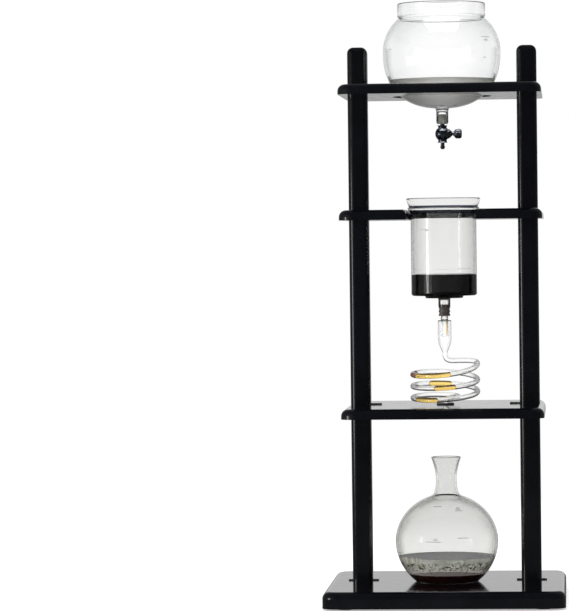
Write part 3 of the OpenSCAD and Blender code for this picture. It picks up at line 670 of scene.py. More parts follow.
@dataclass(frozen=True)
class Finish:
    """A surface finish, made once as a material and then handed out again."""

    name: str

    def material(self) -> bpy.types.Material:
        """Returns the material, built at the first call."""
        made = bpy.data.materials.get(self.name)
        if not made:
            made = bpy.data.materials.new(self.name)
            tree = bare_tree(made)
            add_node(tree, "ShaderNodeOutputMaterial", {"Surface": self.surface(tree)})
        return made

    def surface(self, tree: Tree) -> Socket:
        """Returns the shader that is the surface, its nodes built."""
        raise NotImplementedError

    def put_on(self, piece: bpy.types.Object) -> None:
        """Makes this the piece's only material."""
        piece.data.materials.clear()
        piece.data.materials.append(self.material())


@dataclass(frozen=True)
class Lacquer(Finish):
    """Black polyurethane lacquer, sprayed over sanded wood.

    It gives the eye a deep near-black with mirror-like gloss that is broken by the faint
    unevenness of a sprayed coat, and a breath of dust that dulls it in broad patches.
    """

    colour: str = "#050609"
    worn: str = "#0c0d12"
    peel: float = 2.2
    gloss: tuple[float, float] = (0.05, 0.13)

    def surface(self, tree: Tree) -> Socket:
        """Returns the shader: broad dust patches, orange peel of about 2 mm, fine relief."""
        colour = ramp(tree, noise(tree, 38.0, 4.0), [(0.35, self.colour), (0.75, self.worn)])
        rough = span(tree, noise(tree, 9.0, 5.0), *self.gloss)
        relief = bump(tree, noise(tree, self.peel, 1.0), 0.004)
        return principled(tree, colour, rough, Normal=relief, IOR=1.5)


@dataclass(frozen=True)
class Rubber(Finish):
    """Vulcanised rubber, moulded: matt, with the mould's fine grain and a dusty bloom."""

    colour: str = "#171718"
    bloom: str = "#2b2a2a"
    rough: float = 0.55

    def surface(self, tree: Tree) -> Socket:
        """Returns the shader: a bloom in 3 mm patches over a 0.6 mm grain."""
        colour = ramp(tree, noise(tree, 3.0, 4.0), [(0.35, self.colour), (0.7, self.bloom)])
        rough = span(tree, noise(tree, 2.0, 3.0), self.rough - 0.08, self.rough + 0.1)
        relief = bump(tree, noise(tree, 0.6, 2.0), 0.02)
        return principled(tree, colour, rough, Normal=relief, IOR=1.52)


@dataclass(frozen=True)
class Metal(Finish):
    """A metal surface, turned, plated or sheet: the colour is its reflection's."""

    colour: str
    shade: str
    rough: float = 0.3
    grain: float = 0.5
    relief: float = 0.004

    def surface(self, tree: Tree) -> Socket:
        """Returns the shader: tarnish in 4 mm patches, tool marks of the grain's size."""
        colour = ramp(tree, noise(tree, 4.0, 4.0), [(0.3, self.shade), (0.7, self.colour)])
        marks = noise(tree, self.grain)
        rough = span(tree, marks, self.rough * 0.7, self.rough * 1.35)
        return principled(
            tree, colour, rough, Metallic=1.0, Normal=bump(tree, marks, self.relief)
        )


@dataclass(frozen=True)
class Clear(Finish):
    """A clear body, glass or liquid: its tint darkens where the eye looks along its wall,
    partly for the longer way through it and partly as painted shade at its outline.

    From the height pale_from on, where the rim runs thin, it bends light less and has no
    tint. The painted shade stripes are heights in mm and colours that darken it there,
    standing in for dark things seen through it.
    """

    tint: Stops = ((0.0, "#ffffff"),)
    ior: float = 1.47
    rough: float = 0.0
    ripple: float = 0.0
    pale_from: float = 0.0
    pale_ior: float = 1.2
    shine: str = "#ffffff"
    painted_shade_bands: Stops = ()

    def colour(self, tree: Tree) -> Socket:
        """Returns the tint by facing, its dark outline partly painted shade, which the pale rim
        does without, times the stripes of painted shade.
        """
        facing = facing_away(tree)
        if self.pale_from:
            below = over_height(tree, self.pale_from, self.pale_from + 1, 1.0, 0.2)
            facing = math_node(tree, "MULTIPLY", facing, below)
        # painted shade: the ramp's dark far end darkens the outline, partly for the longer path
        # through the wall
        tint = ramp(tree, facing, self.tint)
        # painted shade: dark stripes by height, standing in for dark things seen through the glass
        if self.painted_shade_bands:
            tint = mix_colour(tree, 1.0, tint, by_height(tree, self.painted_shade_bands), "MULTIPLY")
        return tint

    def bend(self, tree: Tree) -> Value:
        """Returns the index of refraction, which falls over 3 mm up to the pale rim."""
        if not self.pale_from:
            return self.ior
        return over_height(tree, self.pale_from - 3, self.pale_from, self.ior, self.pale_ior)

    def roughness(self, tree: Tree) -> Value:
        """Returns the surface's roughness, the same all over."""
        return self.rough

    def surface(self, tree: Tree) -> Socket:
        """Returns the shader: the tinted body, and a see-through shadow."""
        more = {"Normal": bump(tree, noise(tree, 9.0, 1.0), self.ripple)} if self.ripple else {}
        glass = principled(
            tree, self.colour(tree), self.roughness(tree), IOR=self.bend(tree),
            Specular_Tint=linear(self.shine), Transmission_Weight=1.0, **more,
        )
        through = add_node(tree, "ShaderNodeBsdfTransparent", {"Color": linear("#ffffff")})
        shadow = add_node(tree, "ShaderNodeLightPath").outputs["Is Shadow Ray"]
        return mix_shader(tree, shadow, glass, through.outputs["BSDF"])


@dataclass(frozen=True)
class Bowlful(Clear):
    """Still cold water in a bowl: dimmed by dew on the bowl, clear in the neck."""

    deep: str = "#e7e7e3"
    dew: float = 0.35
    neck_z: float = 541.0

    def colour(self, tree: Tree) -> Socket:
        """Returns the tint by height: clear up to neck_z, deep from 6 mm over it."""
        share = over_height(tree, self.neck_z, self.neck_z + 6, 0.0, 1.0)
        return ramp(tree, share, [(0.0, "#ffffff"), (1.0, self.deep)])

    def roughness(self, tree: Tree) -> Value:
        """Returns the dew's haze, which starts at neck_z and is patchy in 5 mm spots."""
        share = over_height(tree, self.neck_z, self.neck_z + 2, 0.0, 1.0)
        patchy = span(tree, noise(tree, 5.0), self.dew * 0.8, self.dew * 1.2)
        return math_node(tree, "MULTIPLY", share, patchy)


@dataclass(frozen=True)
class Layered(Clear):
    """A cloudy liquid: its tint changes with height, and lumps float in a band of it.

    The layers are (height in mm, colour) from the foot up, and so are the band's shares.
    """

    layers: Stops = ()
    lumpy: Stops = ()
    cloud: float = 0.45

    def colour(self, tree: Tree) -> Socket:
        """Returns the tint by height, the layers faded into each other, and the lumps over it."""
        lumps = ramp(
            tree, noise(tree, 3.4, 3.0, (1, 1, 1.5)),
            [(0.36, "#2c2618"), (0.44, "#7e7b58"), (0.5, "#c9cdb9"), (0.58, "#ffffff")],
        )
        spots = noise(tree, 9.0, 3.0, (1, 1, 2))
        there = ramp(tree, spots, [(0.4, "#000000"), (0.52, "#ffffff")])
        share = mix_colour(tree, 1.0, by_height(tree, self.lumpy), there, "MULTIPLY")
        return mix_colour(tree, share, by_height(tree, self.layers), lumps)

    def surface(self, tree: Tree) -> Socket:
        """Returns the shader: the clear liquid, clouded by what floats in it."""
        clear, colour = super().surface(tree), self.colour(tree)
        matt = add_node(tree, "ShaderNodeBsdfDiffuse", {"Color": colour}).outputs["BSDF"]
        cloudy = scattered(tree, colour, matt, 0.35, lit_first=True)
        return mix_shader(tree, self.cloud, clear, cloudy)


@dataclass(frozen=True)
class Froth(Finish):
    """Fine bubbles or floating grounds: matt, mottled, a little light coming through."""

    colours: tuple[str, str]
    grain: float = 2.0

    def surface(self, tree: Tree) -> Socket:
        """Returns the shader: two mottled colours, three fifths matt, the rest translucent."""
        mottled = noise(tree, self.grain, 4.0)
        colour = ramp(tree, mottled, [(0.38, self.colours[0]), (0.62, self.colours[1])])
        return scattered(tree, colour, principled(tree, colour, 0.45), 0.4, lit_first=False)


@dataclass(frozen=True)
class Brew(Finish):
    """Dark brewed coffee or wet grounds: near black, glossy, brown where it is thin."""

    colour: str
    thin: str
    rough: float = 0.12
    ior: float = 1.34
    relief: float = 0.0

    def surface(self, tree: Tree) -> Socket:
        """Returns the shader: brown and black in 6 mm clouds, and grounds of about 2 mm."""
        colour = ramp(tree, noise(tree, 6.0, 5.0), [(0.3, self.colour), (0.75, self.thin)])
        more = {"Normal": bump(tree, noise(tree, 2.0, 4.0), self.relief)} if self.relief else {}
        return principled(tree, colour, self.rough, IOR=self.ior, **more)


@dataclass(frozen=True)
class Print(Finish):
    """Fired ceramic ink on glass: matt, thin, a little uneven."""

    colour: str = "#8a8f90"

    def surface(self, tree: Tree) -> Socket:
        """Returns the shader: the ink's colour broken by 1 mm thin spots."""
        colour = ramp(tree, noise(tree, 1.0), [(0.35, "#a6aaaa"), (0.6, self.colour)])
        return principled(tree, colour, 0.6)


BOARD_LACQUER = Lacquer("lacquered_wood_sprayed_black")
POST_LACQUER = Lacquer("lacquered_post_sprayed_black", gloss=(0.09, 0.2), peel=3.0)
FOOT_RUBBER = Rubber("rubber_moulded_foot")
GROMMET_RUBBER = Rubber("rubber_moulded_grommet", "#222224", "#3a3a3b", 0.4)
STOPPER_RUBBER = Rubber("rubber_moulded_stopper", "#5a5c55", "#6f7169", 0.4)
JOINT_RUBBER = Rubber("rubber_moulded_ribbed_joint", "#3b3634", "#575150", 0.42)
PACKING = Rubber("ptfe_turned_packing", "#d2d0c6", "#e0ded6", 0.4)
BRACKET_STEEL = Metal("sheet_steel_zinc_plated", "#c9cbce", "#a4a6a9", 0.22, 1.2)
SCREW_STEEL = Metal("steel_turned_zinc_plated", "#a9acaf", "#7c7f83", 0.28)
TAP_METAL = Metal("brass_gunmetal_plated", "#7b808a", "#5c606a", 0.2, 1.4, 0.002)
KNOB_METAL = Metal("brass_gunmetal_knurled", "#868b95", "#62666f", 0.24, 1.0, 0.003)
FILTER_STEEL = Metal("stainless_steel_perforated", "#9a9c9e", "#7c7e80")
# The clear finishes' ramps run near black at the far end: partly the longer way through the wall,
# partly painted shade at the outline.
GLOBE_GLASS = Clear(
    "borosilicate_glass_blown_globe",
    tint=((0.0, "#fdfdfd"), (0.6, "#f5f6f6"), (0.8, "#e0e2e4"), (0.92, "#a0a4a8"),
          (1.0, "#363b40")),
)
BREWER_GLASS = Clear(
    "borosilicate_glass_blown_cylinder",
    tint=((0.0, "#f0f0ef"), (0.2, "#efefee"), (0.36, "#e7e7e6"), (0.5, "#dddddb"),
          (0.6, "#cfcfcd"), (0.77, "#949493"), (0.9, "#5f6161"), (1.0, "#2c3032")),
    pale_from=433.4,
    pale_ior=1.13,
    # painted shade: dark stripes under and over the shelf top stand in for the dark shelf seen bent
    # through the flare
    painted_shade_bands=((423.4, "#ffffff"), (424.2, "#5a5f6c"), (426.8, "#5a5f6c"), (427.5, "#ffffff"),
           (430.2, "#ffffff"), (430.5, "#4a5068"), (431.9, "#4a5068"), (432.4, "#ffffff")),
)
TUBE_GLASS = Clear(
    "borosilicate_glass_drawn_tube",
    tint=((0.0, "#ffffff"), (0.5, "#f4f4f3"), (0.62, "#c6c7c6"), (0.76, "#7c7d7d"),
          (1.0, "#121314")),
)
FLASK_GLASS = Clear(
    "borosilicate_glass_blown_flask",
    tint=((0.0, "#e7e7e6"), (0.35, "#e8e8e6"), (0.45, "#e9e9e7"), (0.52, "#e4e4e2"),
          (0.59, "#d9d9d6"), (0.69, "#bdbdba"), (0.8, "#969692"), (1.0, "#343632")),
    shine="#8c8c8c",
)
WATER = Bowlful("water_still", ior=1.333)
AMBER = Clear(
    "coffee_thin_amber",
    tint=((0.0, "#ffdf84"), (0.55, "#f6c65a"), (0.8, "#b9822c"), (1.0, "#4c2a08")),
    ior=1.34,
)
THIN_BREW = Layered(
    "coffee_thin_cloudy",
    layers=((28.5, "#f0e4e1"), (33.0, "#f6eeec"), (37.0, "#eceee4"), (42.0, "#f0f3ea"),
            (46.0, "#f6f8f2")),
    lumpy=((28.5, "#101010"), (34.5, "#404040"), (37.0, "#ffffff"), (41.5, "#ffffff"),
           (44.0, "#000000"), (46.0, "#000000")),
    ior=1.06,
    rough=0.05,
    ripple=0.05,
)
FROTH = Froth("froth_of_coffee", ("#f0e9d6", "#ffffff"))
SCUM = Froth("froth_thin_grey_film", ("#bfc1c4", "#d2d3d4"), 7.0)
SILT = Froth("coffee_silt_pinkish", ("#f2e2de", "#fff6f4"), 6.0)
SPECKS = Froth("coffee_grounds_afloat", ("#2b2117", "#6b6846"), 1.6)
BED_COFFEE = Brew("coffee_grounds_wet", "#040303", "#0a0605", 0.09, 1.24, 0.04)
AMBER_DARK = Brew("coffee_strong_red_brown", "#7c382c", "#a85e52")
FLASK_COFFEE = Brew("coffee_brewed_dark", "#170c0a", "#331c15")
PRINT = Print("ceramic_ink_fired")
PRINT_DARK = Print("ceramic_ink_fired_dark", "#5c6164")


def dress(finish: Finish, *nodes: str) -> None:
    """Gives CAD nodes their finish, and keeps their shapes.

    Args:
        finish: The finish.
        nodes: The nodes' names.
    """
    for node in nodes:
        finish.put_on(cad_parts[node])
        log.info("%s wears %s", node, finish.name)


def settle(piece: bpy.types.Object, body: str, finish: Finish, slot: str, *nodes: str) -> None:
    """Finishes a new piece.

    Args:
        piece: The piece.
        body: The CAD body that it rides on.
        finish: Its finish.
        slot: The record's material slot; not used.
        nodes: The CAD nodes that it stands for.
    """
    finish.put_on(piece)
    if nodes:
        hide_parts(*nodes)
    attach(piece, body)
    log.info("%s: %d faces, on %s", piece.name, len(piece.data.polygons), body)


# ---------------------------------------------------------------- the tower


@dataclass
class Stand:
    """The lacquered wooden stand: boards, posts and their hardware, all CAD nodes."""

    def build(self) -> None:
        """Gives every node of the stand its finish."""
        dress(BOARD_LACQUER, "base_board", "shelf_lower", "shelf_middle", "shelf_top")
        dress(POST_LACQUER, "post_left", "post_right")
        dress(FOOT_RUBBER, "foot_pads")
        dress(BRACKET_STEEL, "angle_brackets")
        dress(SCREW_STEEL, "bracket_screws", "base_screws")
        dress(GROMMET_RUBBER, "spiral_grommet")


@dataclass
class Reservoir:
    """The water globe that hangs in the top shelf, its stopper and its needle tap."""

    across: float = 64.4
    rise: float = 53.5
    drop: float = 62.2
    belly: float = 2.35
    wall: float = 2.2
    centre: float = 600.67
    collar: float = 48.1
    collar_foot: float = 637.37
    collar_wall: float = 3.2
    groove: float = 1.2
    neck: float = 6.6
    neck_bore: float = 5.1
    neck_top: float = 538.47
    water_top: float = 570.4

    def side(self, wall: float) -> tuple[np.ndarray, np.ndarray]:
        """Works out the globe's side at a depth into its wall: an ellipse over a squarer oval.

        Args:
            wall: The depth in mm, 0 for the outside.

        Returns:
            The upper and the lower half, both from the top down.
        """
        a = self.across - wall
        high = oval_angle(self.collar - self.groove - wall, a, 2)
        low = oval_angle(self.neck + 1.4 - wall, a, self.belly)
        upper = oval((a, self.rise - wall), 2, self.centre, (high, 3), 44)
        lower = oval((a, self.drop - wall), self.belly, self.centre, (-2.2, -low), 64)
        return upper, lower

    def radius_at(self, z: np.ndarray) -> np.ndarray:
        """Works out the globe's outer radius: the ellipse's over the middle, the oval's below.

        Args:
            z: The heights in mm.

        Returns:
            The radii.
        """
        up = self.across * np.sqrt(np.clip(1 - ((z - self.centre) / self.rise) ** 2, 0, 1))
        share = np.clip((self.centre - z) / self.drop, 0, 1)
        down = self.across * (1 - share**self.belly) ** (1 / self.belly)
        return np.where(z > self.centre, up, down)

    def build_globe(self) -> None:
        """Turns the globe's wall: rolled collar, ring groove, bulb, short neck."""
        top, foot = high_z("reservoir_globe"), low_z("reservoir_globe")
        upper, lower = self.side(0)
        upper_in, lower_in = self.side(self.wall)
        n, bore, nz = self.neck, self.neck_bore, self.neck_top
        neck_bend = bezier([lower[-1], [n + 0.9, nz], [n, nz - 2], [n, nz - 4]], 8)
        hook = [[bore + 0.5, nz + 1.2], [bore, nz + 0.2], [bore, nz - 1]]
        bend_in = bezier([lower_in[-1], *hook], 6)
        c, cz, inner = self.collar, self.collar_foot, self.collar - self.collar_wall
        waist = c - self.groove
        profile = np.concatenate([
            fillet([c - 1.6, top - 1.6], 1.6, 90, 0),
            [[c, cz + 2.2]],
            bezier([[c, cz + 1.9], [c, cz + 0.9], [waist, cz + 1.3], [waist, cz + 0.4]], 8),
            upper, lower, neck_bend,
            [[n, foot + 0.5], [n - 0.4, foot], [bore + 0.3, foot], [bore, foot + 0.5]],
            bend_in[::-1], lower_in[::-1], upper_in[::-1],
            bezier([upper_in[0], [inner - 0.6, cz + 1.2], [inner, cz + 2], [inner, cz + 3.4]], 8),
            fillet([inner + 1.2, top - 1.2], 1.2, 180, 90, 7),
        ])
        globe = revolve("globe_glass", profile, 192)
        settle(globe, "reservoir", GLOBE_GLASS, "clear_glass", "reservoir_globe")

    def build_water(self) -> None:
        """Fills the bowl: the water reaches a hair into the glass and creeps up the wall."""
        _, lower = self.side(self.wall - INTO_WALL)
        bore, level = self.neck_bore + INTO_WALL, self.water_top
        rim = lower[lower[:, 1] < level + 0.7]
        edge = rim[0]
        creep = bezier([[0, level], [edge[0] - 9, level], [edge[0] - 1.6, level + 0.1], edge], 14)
        foot = high_z("reservoir_stopper") + 0.02
        neck = [[bore, self.neck_top - 1], [bore, foot], [0, foot]]
        water = revolve("globe_water", np.concatenate([creep, rim[1:], neck]))
        settle(water, "reservoir", WATER, "water", "reservoir_water")

    def build_marks(self) -> None:
        """Prints the filling marks at the sides of the globe."""
        rows = [(43.5, 56.0, 613.8, 614.5), (44.0, 48.5, 591.5, 592.1),
                (-63.0, -58.0, 602.0, 602.6)]
        parts = [wall_patch(self.radius_at, row[:2], row[2:]) for row in rows]
        parts.append(numeral_arrays("1000", 2.6, self.radius_at, 49.0, 609.6))
        settle(make_piece("globe_marks", *join_arrays(parts)), "reservoir", PRINT, "clear_glass")

    def build(self) -> None:
        """Makes the glass and the water, and dresses the stopper and the tap."""
        self.build_globe()
        self.build_water()
        self.build_marks()
        dress(STOPPER_RUBBER, "reservoir_stopper")
        dress(TAP_METAL, "tap_body", "tap_nozzle", "tap_bonnet")
        dress(PACKING, "tap_packing")
        dress(SCREW_STEEL, "tap_spindle", "knob_screw")
        dress(KNOB_METAL, "tap_knob")


@dataclass
class Brewer:
    """The flared glass cylinder with its filter, its wet grounds and its drip tube."""

    radius: float = 36.0
    wall: float = 2.0
    shoulder: float = 39.3
    shelf_top: float = 427.6
    lip: float = 40.6
    floor_z: float = 333.4
    floor_wall: float = 2.5
    boss: float = 21.2
    boss_z: float = 330.7
    well: float = 19.2
    stem: float = 6.6
    bore: float = 5.0
    tube_r: float = 4.1
    tube_bore: float = 2.8

    def radius_at(self, z: np.ndarray) -> np.ndarray:
        """Returns the cylinder's outer radius, the same at every height below its shoulder."""
        return np.full(np.shape(z), self.radius)

    def build_cylinder(self) -> None:
        """Turns the cylinder's wall: rolled rim, flare, straight side, round heel, boss, stem."""
        top, foot = high_z("brew_cylinder"), low_z("brew_cylinder")
        r, out, lip = self.radius, self.shoulder, self.lip
        inner, out_in = r - self.wall, out - self.wall
        boss, stem, bore = self.boss, self.stem, self.bore
        shelf, floor, low = self.shelf_top, self.floor_z, self.boss_z
        profile = np.concatenate([
            fillet([lip - 1.1, top - 1.1], 1.1, 100, -20),
            bezier([[lip - 0.2, top - 1.8], [lip - 0.9, top - 4], [out - 0.9, top - 8],
                    [out - 1.5, shelf + 3.2]], 10),
            fillet([out - 1.6, shelf + 1.5], 1.6, 84, -50, 11),
            bezier([[out - 0.7, shelf + 0.1], [out - 1.6, shelf - 1.0], [r, shelf - 1.4],
                    [r, shelf - 3.2]], 8),
            fillet([r - 3, floor + 3], 3, 0, -90, 12),
            bezier([[boss + 1.2, floor], [boss + 0.2, floor], [boss - 0.2, floor - 0.3],
                    [boss - 0.6, low + 0.9]], 6),
            fillet([boss - 1.6, low + 0.9], 0.9, 0, -90, 5),
            bezier([[stem + 1.6, low], [stem + 0.4, low], [stem, low - 0.4], [stem, low - 1.8]], 7),
            [[stem, foot + 0.4], [stem - 0.4, foot], [bore + 0.2, foot], [bore, foot + 0.3],
             [bore, low + 2], [self.well - 0.6, low + 2], [self.well, low + 2.5],
             [self.well, floor + self.floor_wall]],
            fillet([inner - 2, floor + self.floor_wall + 2], 2, -90, 0, 10),
            bezier([[inner, shelf - 2.2], [inner, shelf - 0.8], [out_in, shelf - 0.6],
                    [out_in, shelf + 1.2]], 10),
            bezier([[out_in, shelf + 1.6], [out_in + 0.2, top - 8], [lip - 2.6, top - 4],
                    [lip - 2.1, top - 1.6]], 8),
        ])
        cylinder = revolve("brewer_glass", profile, 192)
        settle(cylinder, "brewer", BREWER_GLASS, "clear_glass", "brew_cylinder")

    def build_bed(self) -> None:
        """Makes the bed of wet grounds: heel rounded to the glass, top heaped by sines.

        The top's height is z - 0.5 - 0.35 cos(2a) - 0.5 sin(r / 5) cos(3a), and level at the wall.
        """
        high = high_z("coffee_bed")
        side = self.radius - self.wall + INTO_WALL
        floor = self.floor_z + self.floor_wall - INTO_WALL
        seat, low = self.boss - 1.4, self.boss_z + 0.6
        profile = np.concatenate([
            np.column_stack([np.linspace(0, side - 0.6, 26), np.full(26, high)]),
            fillet([side - 0.5, high - 0.5], 0.5, 90, 0, 5),
            fillet([side - 2, floor + 2], 2, 0, -90, 10),
            [[seat, floor], [seat, low], [0, low]],
        ])
        piece = revolve("coffee_bed_wet", profile, 120)
        flat = np.empty(len(piece.data.vertices) * 3, np.float32)
        piece.data.vertices.foreach_get("co", flat)
        place = flat.reshape(-1, 3) / MM
        r, a = np.hypot(place[:, 0], place[:, 1]), np.arctan2(place[:, 1], place[:, 0])
        top = (place[:, 2] > high - 0.01) & (r < side - 0.7)
        place[top, 2] += (-0.35 * np.cos(2 * a) - 0.5 * np.sin(r / 5) * np.cos(3 * a) - 0.5)[top]
        piece.data.vertices.foreach_set("co", (place * MM).astype(np.float32).ravel())
        piece.data.update()
        settle(piece, "brewer", BED_COFFEE, "dark_coffee", "coffee_bed")

    def build_drip_tube(self) -> None:
        """Makes the drip tube, its end fire-polished, and the amber film that runs down inside."""
        low, high = low_z("drip_tube"), high_z("drip_tube")
        outer, inner = self.tube_r, self.tube_bore
        profile = np.concatenate([
            [[outer, high - 0.3], [outer - 0.3, high], [inner + 0.2, high], [inner, high - 0.3]],
            [[inner, low + 0.9]],
            fillet([(outer + inner) / 2, low + 0.65], 0.65, 180, 360),
        ])
        glass = revolve("drip_tube_glass", profile, 64)
        settle(glass, "brewer", TUBE_GLASS, "clear_glass", "drip_tube")
        steps, film, angle = np.linspace(0, 1, 40), 0.62, math.radians(-8 - VIEW_TURN)
        path = on_axis(high - 12 - (high - 13.5 - low) * steps)
        path[:, :2] = (inner - film) * np.array([math.cos(angle), math.sin(angle)])
        piece = make_piece("drip_film", *rod_arrays(path, 0.75, 16, 3.0))
        settle(piece, "brewer", AMBER, "amber_coffee")

    def build_marks(self) -> None:
        """Prints the filling mark on the cylinder's left and the faint ticks over the grounds."""
        rows = [(-46.0, -27.0, 406.2), (-66.0, -47.0, 362.6), (-11.0, -5.0, 362.4),
                (0.0, 8.0, 362.3), (24.0, 55.0, 362.8)]
        parts = [wall_patch(self.radius_at, (a, b), (z, z + 0.3)) for a, b, z in rows]
        parts.append(numeral_arrays("300", 2.2, self.radius_at, -31.0, 404.0))
        settle(make_piece("brewer_marks", *join_arrays(parts)), "brewer", PRINT, "clear_glass")

    def build(self) -> None:
        """Makes the glass and the grounds, and dresses the filter and the rubber joint."""
        self.build_cylinder()
        self.build_bed()
        self.build_drip_tube()
        self.build_marks()
        dress(FILTER_STEEL, "filter_disc")
        dress(GROMMET_RUBBER, "filter_seal")
        dress(JOINT_RUBBER, "drip_joint")


@dataclass
class Spiral:
    """The hand-wound glass spiral: funnel, leaning coil, straight outlet, and coffee on its way."""

    radius: float = 35.5
    tube_r: float = 2.9
    wall: float = 0.7
    pitch: float = 12.8
    turns: float = 2.78
    lean: float = 7.0
    lead_level: float = 8.0
    lead_turn: float = 30.0
    lead_bend: float = 11.0
    lead_drop: float = 9.4
    lead_sweep: float = 14.0
    first_rise: float = 5.0
    run_out: float = 17.0
    funnel_r: float = 7.4
    funnel_wall: float = 1.1
    funnel_cone: float = 15.0
    outlet_r: float = 2.7
    coil_z: float = 253.8
    funnel_z: float = 271.2
    outlet_top: float = 216.2

    def coil_at(self, turn: np.ndarray) -> np.ndarray:
        """Works out the coil's middle line after some turns, counted from the right to the front.

        x = R cos a, y = -R sin a, z = start - pitch * turns + y tan(lean), and the first half
        turn comes down from first_rise higher, which fades as (1 - 2 turns) squared.

        Args:
            turn: The turns.

        Returns:
            The places in mm.
        """
        a = 2 * np.pi * np.asarray(turn, float)
        x, y = self.radius * np.cos(a), -self.radius * np.sin(a)
        z = self.coil_z - self.pitch * np.asarray(turn) + y * math.tan(math.radians(self.lean))
        z = z + self.first_rise * np.clip(1 - 2 * np.asarray(turn), 0, None) ** 2
        return np.stack([x, y, z], axis=-1)

    def heading(self, turn: float) -> np.ndarray:
        """Returns the coil's direction after some turns, as a unit vector."""
        return unit(self.coil_at(turn + 0.01) - self.coil_at(turn - 0.01))

    def path(self) -> np.ndarray:
        """Works out the tube's middle line from the funnel's foot to the outlet.

        Returns:
            Stations in mm, shaped (n, 3).
        """
        first, last = self.coil_at(0.0), self.coil_at(self.turns)
        foot = np.array([0, 0, self.coil_z + self.lead_level])
        a = math.radians(self.lead_turn)
        way = self.lead_bend * np.array([math.cos(a), math.sin(a), 0])
        over = foot + [0, 0, self.lead_drop * 0.2]
        bend = bezier([[0, 0, self.funnel_z - 1], over, foot + 0.3 * way, foot + way], 24)
        before = first - self.lead_sweep * self.heading(0.0)
        level = bezier([foot + way, foot + 2 * way, before, first], 40)
        coil = self.coil_at(np.linspace(0, self.turns, 300))
        after = last + self.run_out * self.heading(self.turns)
        out_z = self.outlet_top + 1
        out = bezier([last, after, [0, 0, out_z + 6], [0, 0, out_z]], 44)
        return np.concatenate([bend[:-1], level[:-1], coil, out[1:]])

    def belly(self, foot_r: float, top_r: float) -> np.ndarray:
        """Works out the side of the funnel's round belly.

        Args:
            foot_r: Its radius at the foot.
            top_r: Its radius at the top.

        Returns:
            Points (radius, height) from the top down.
        """
        z, cone = self.funnel_z, self.funnel_cone
        side = [[top_r, z + cone], [top_r, z + cone * 0.58], [foot_r + 0.7, z + cone * 0.15]]
        return bezier([*side, [foot_r, z]], 22)

    def build_tube(self) -> None:
        """Carries the tube's ring down the funnel, round the coil and out through the shelf.

        The outer rings run down and the inner rings back up, and both ends are joined.
        """
        top, foot = high_z("spiral_funnel"), low_z("spiral_outlet")
        middle, bore, sides = self.path(), self.tube_r - self.wall, 28
        r, r_in, out_r = self.funnel_r, self.funnel_r - self.funnel_wall, self.outlet_r
        mouth = [[r - 0.35, top - 0.05, r_in + 0.3], [r - 0.1, top - 0.35, r_in],
                 [r, top - 1.2, r_in], [r, self.funnel_z + self.funnel_cone + 0.3, r_in]]
        outside, inside = self.belly(self.tube_r, r), self.belly(bore, r_in)
        inside_r = np.interp(-outside[:, 1], -inside[:, 1], inside[:, 0])
        funnel = np.concatenate([mouth, np.column_stack([outside, inside_r])])
        tail = on_axis(np.array([self.outlet_top, self.outlet_top - 0.8, foot + 0.4, foot]))
        path = np.concatenate([on_axis(funnel[:, 1]), middle, tail])
        outer_r = [self.tube_r] * (len(middle) + 1) + [out_r, out_r, out_r - 0.3]
        inner_r = [bore] * (len(middle) + 1) + [bore - 0.1, bore - 0.1, bore + 0.1]
        outer = sweep_points(path, np.concatenate([funnel[:, 0], outer_r]), sides)
        inner = sweep_points(path, np.concatenate([funnel[:, 2], inner_r]), sides)
        piece = make_piece("spiral_glass", *skin(np.concatenate([outer, inner[::-1]]), True), 50)
        nodes = ("spiral_funnel", "spiral_tube", "spiral_outlet")
        settle(piece, "spiral", TUBE_GLASS, "clear_glass", *nodes)

    def slug(self, start: float, end: float, steps: int) -> Arrays:
        """Works out a slug of coffee in the coil's bore, its ends domed, between two turns."""
        bore = self.tube_r - self.wall + 0.06
        return rod_arrays(self.coil_at(np.linspace(start, end, steps)), bore, 24, 2.2)

    def build(self) -> None:
        """Makes the glass, the slugs of coffee in it and the dark end of the first."""
        self.build_tube()
        turns = [(0.215, 0.415), (1.19, 1.3), (1.66, 1.78), (2.28, 2.41)]
        amber = make_piece("spiral_amber", *join_arrays([self.slug(a, b, 60) for a, b in turns]))
        settle(amber, "spiral", AMBER, "amber_coffee", "spiral_coffee")
        dark = make_piece("spiral_dark_end", *self.slug(0.418, 0.565, 24))
        settle(dark, "spiral", AMBER_DARK, "amber_coffee")


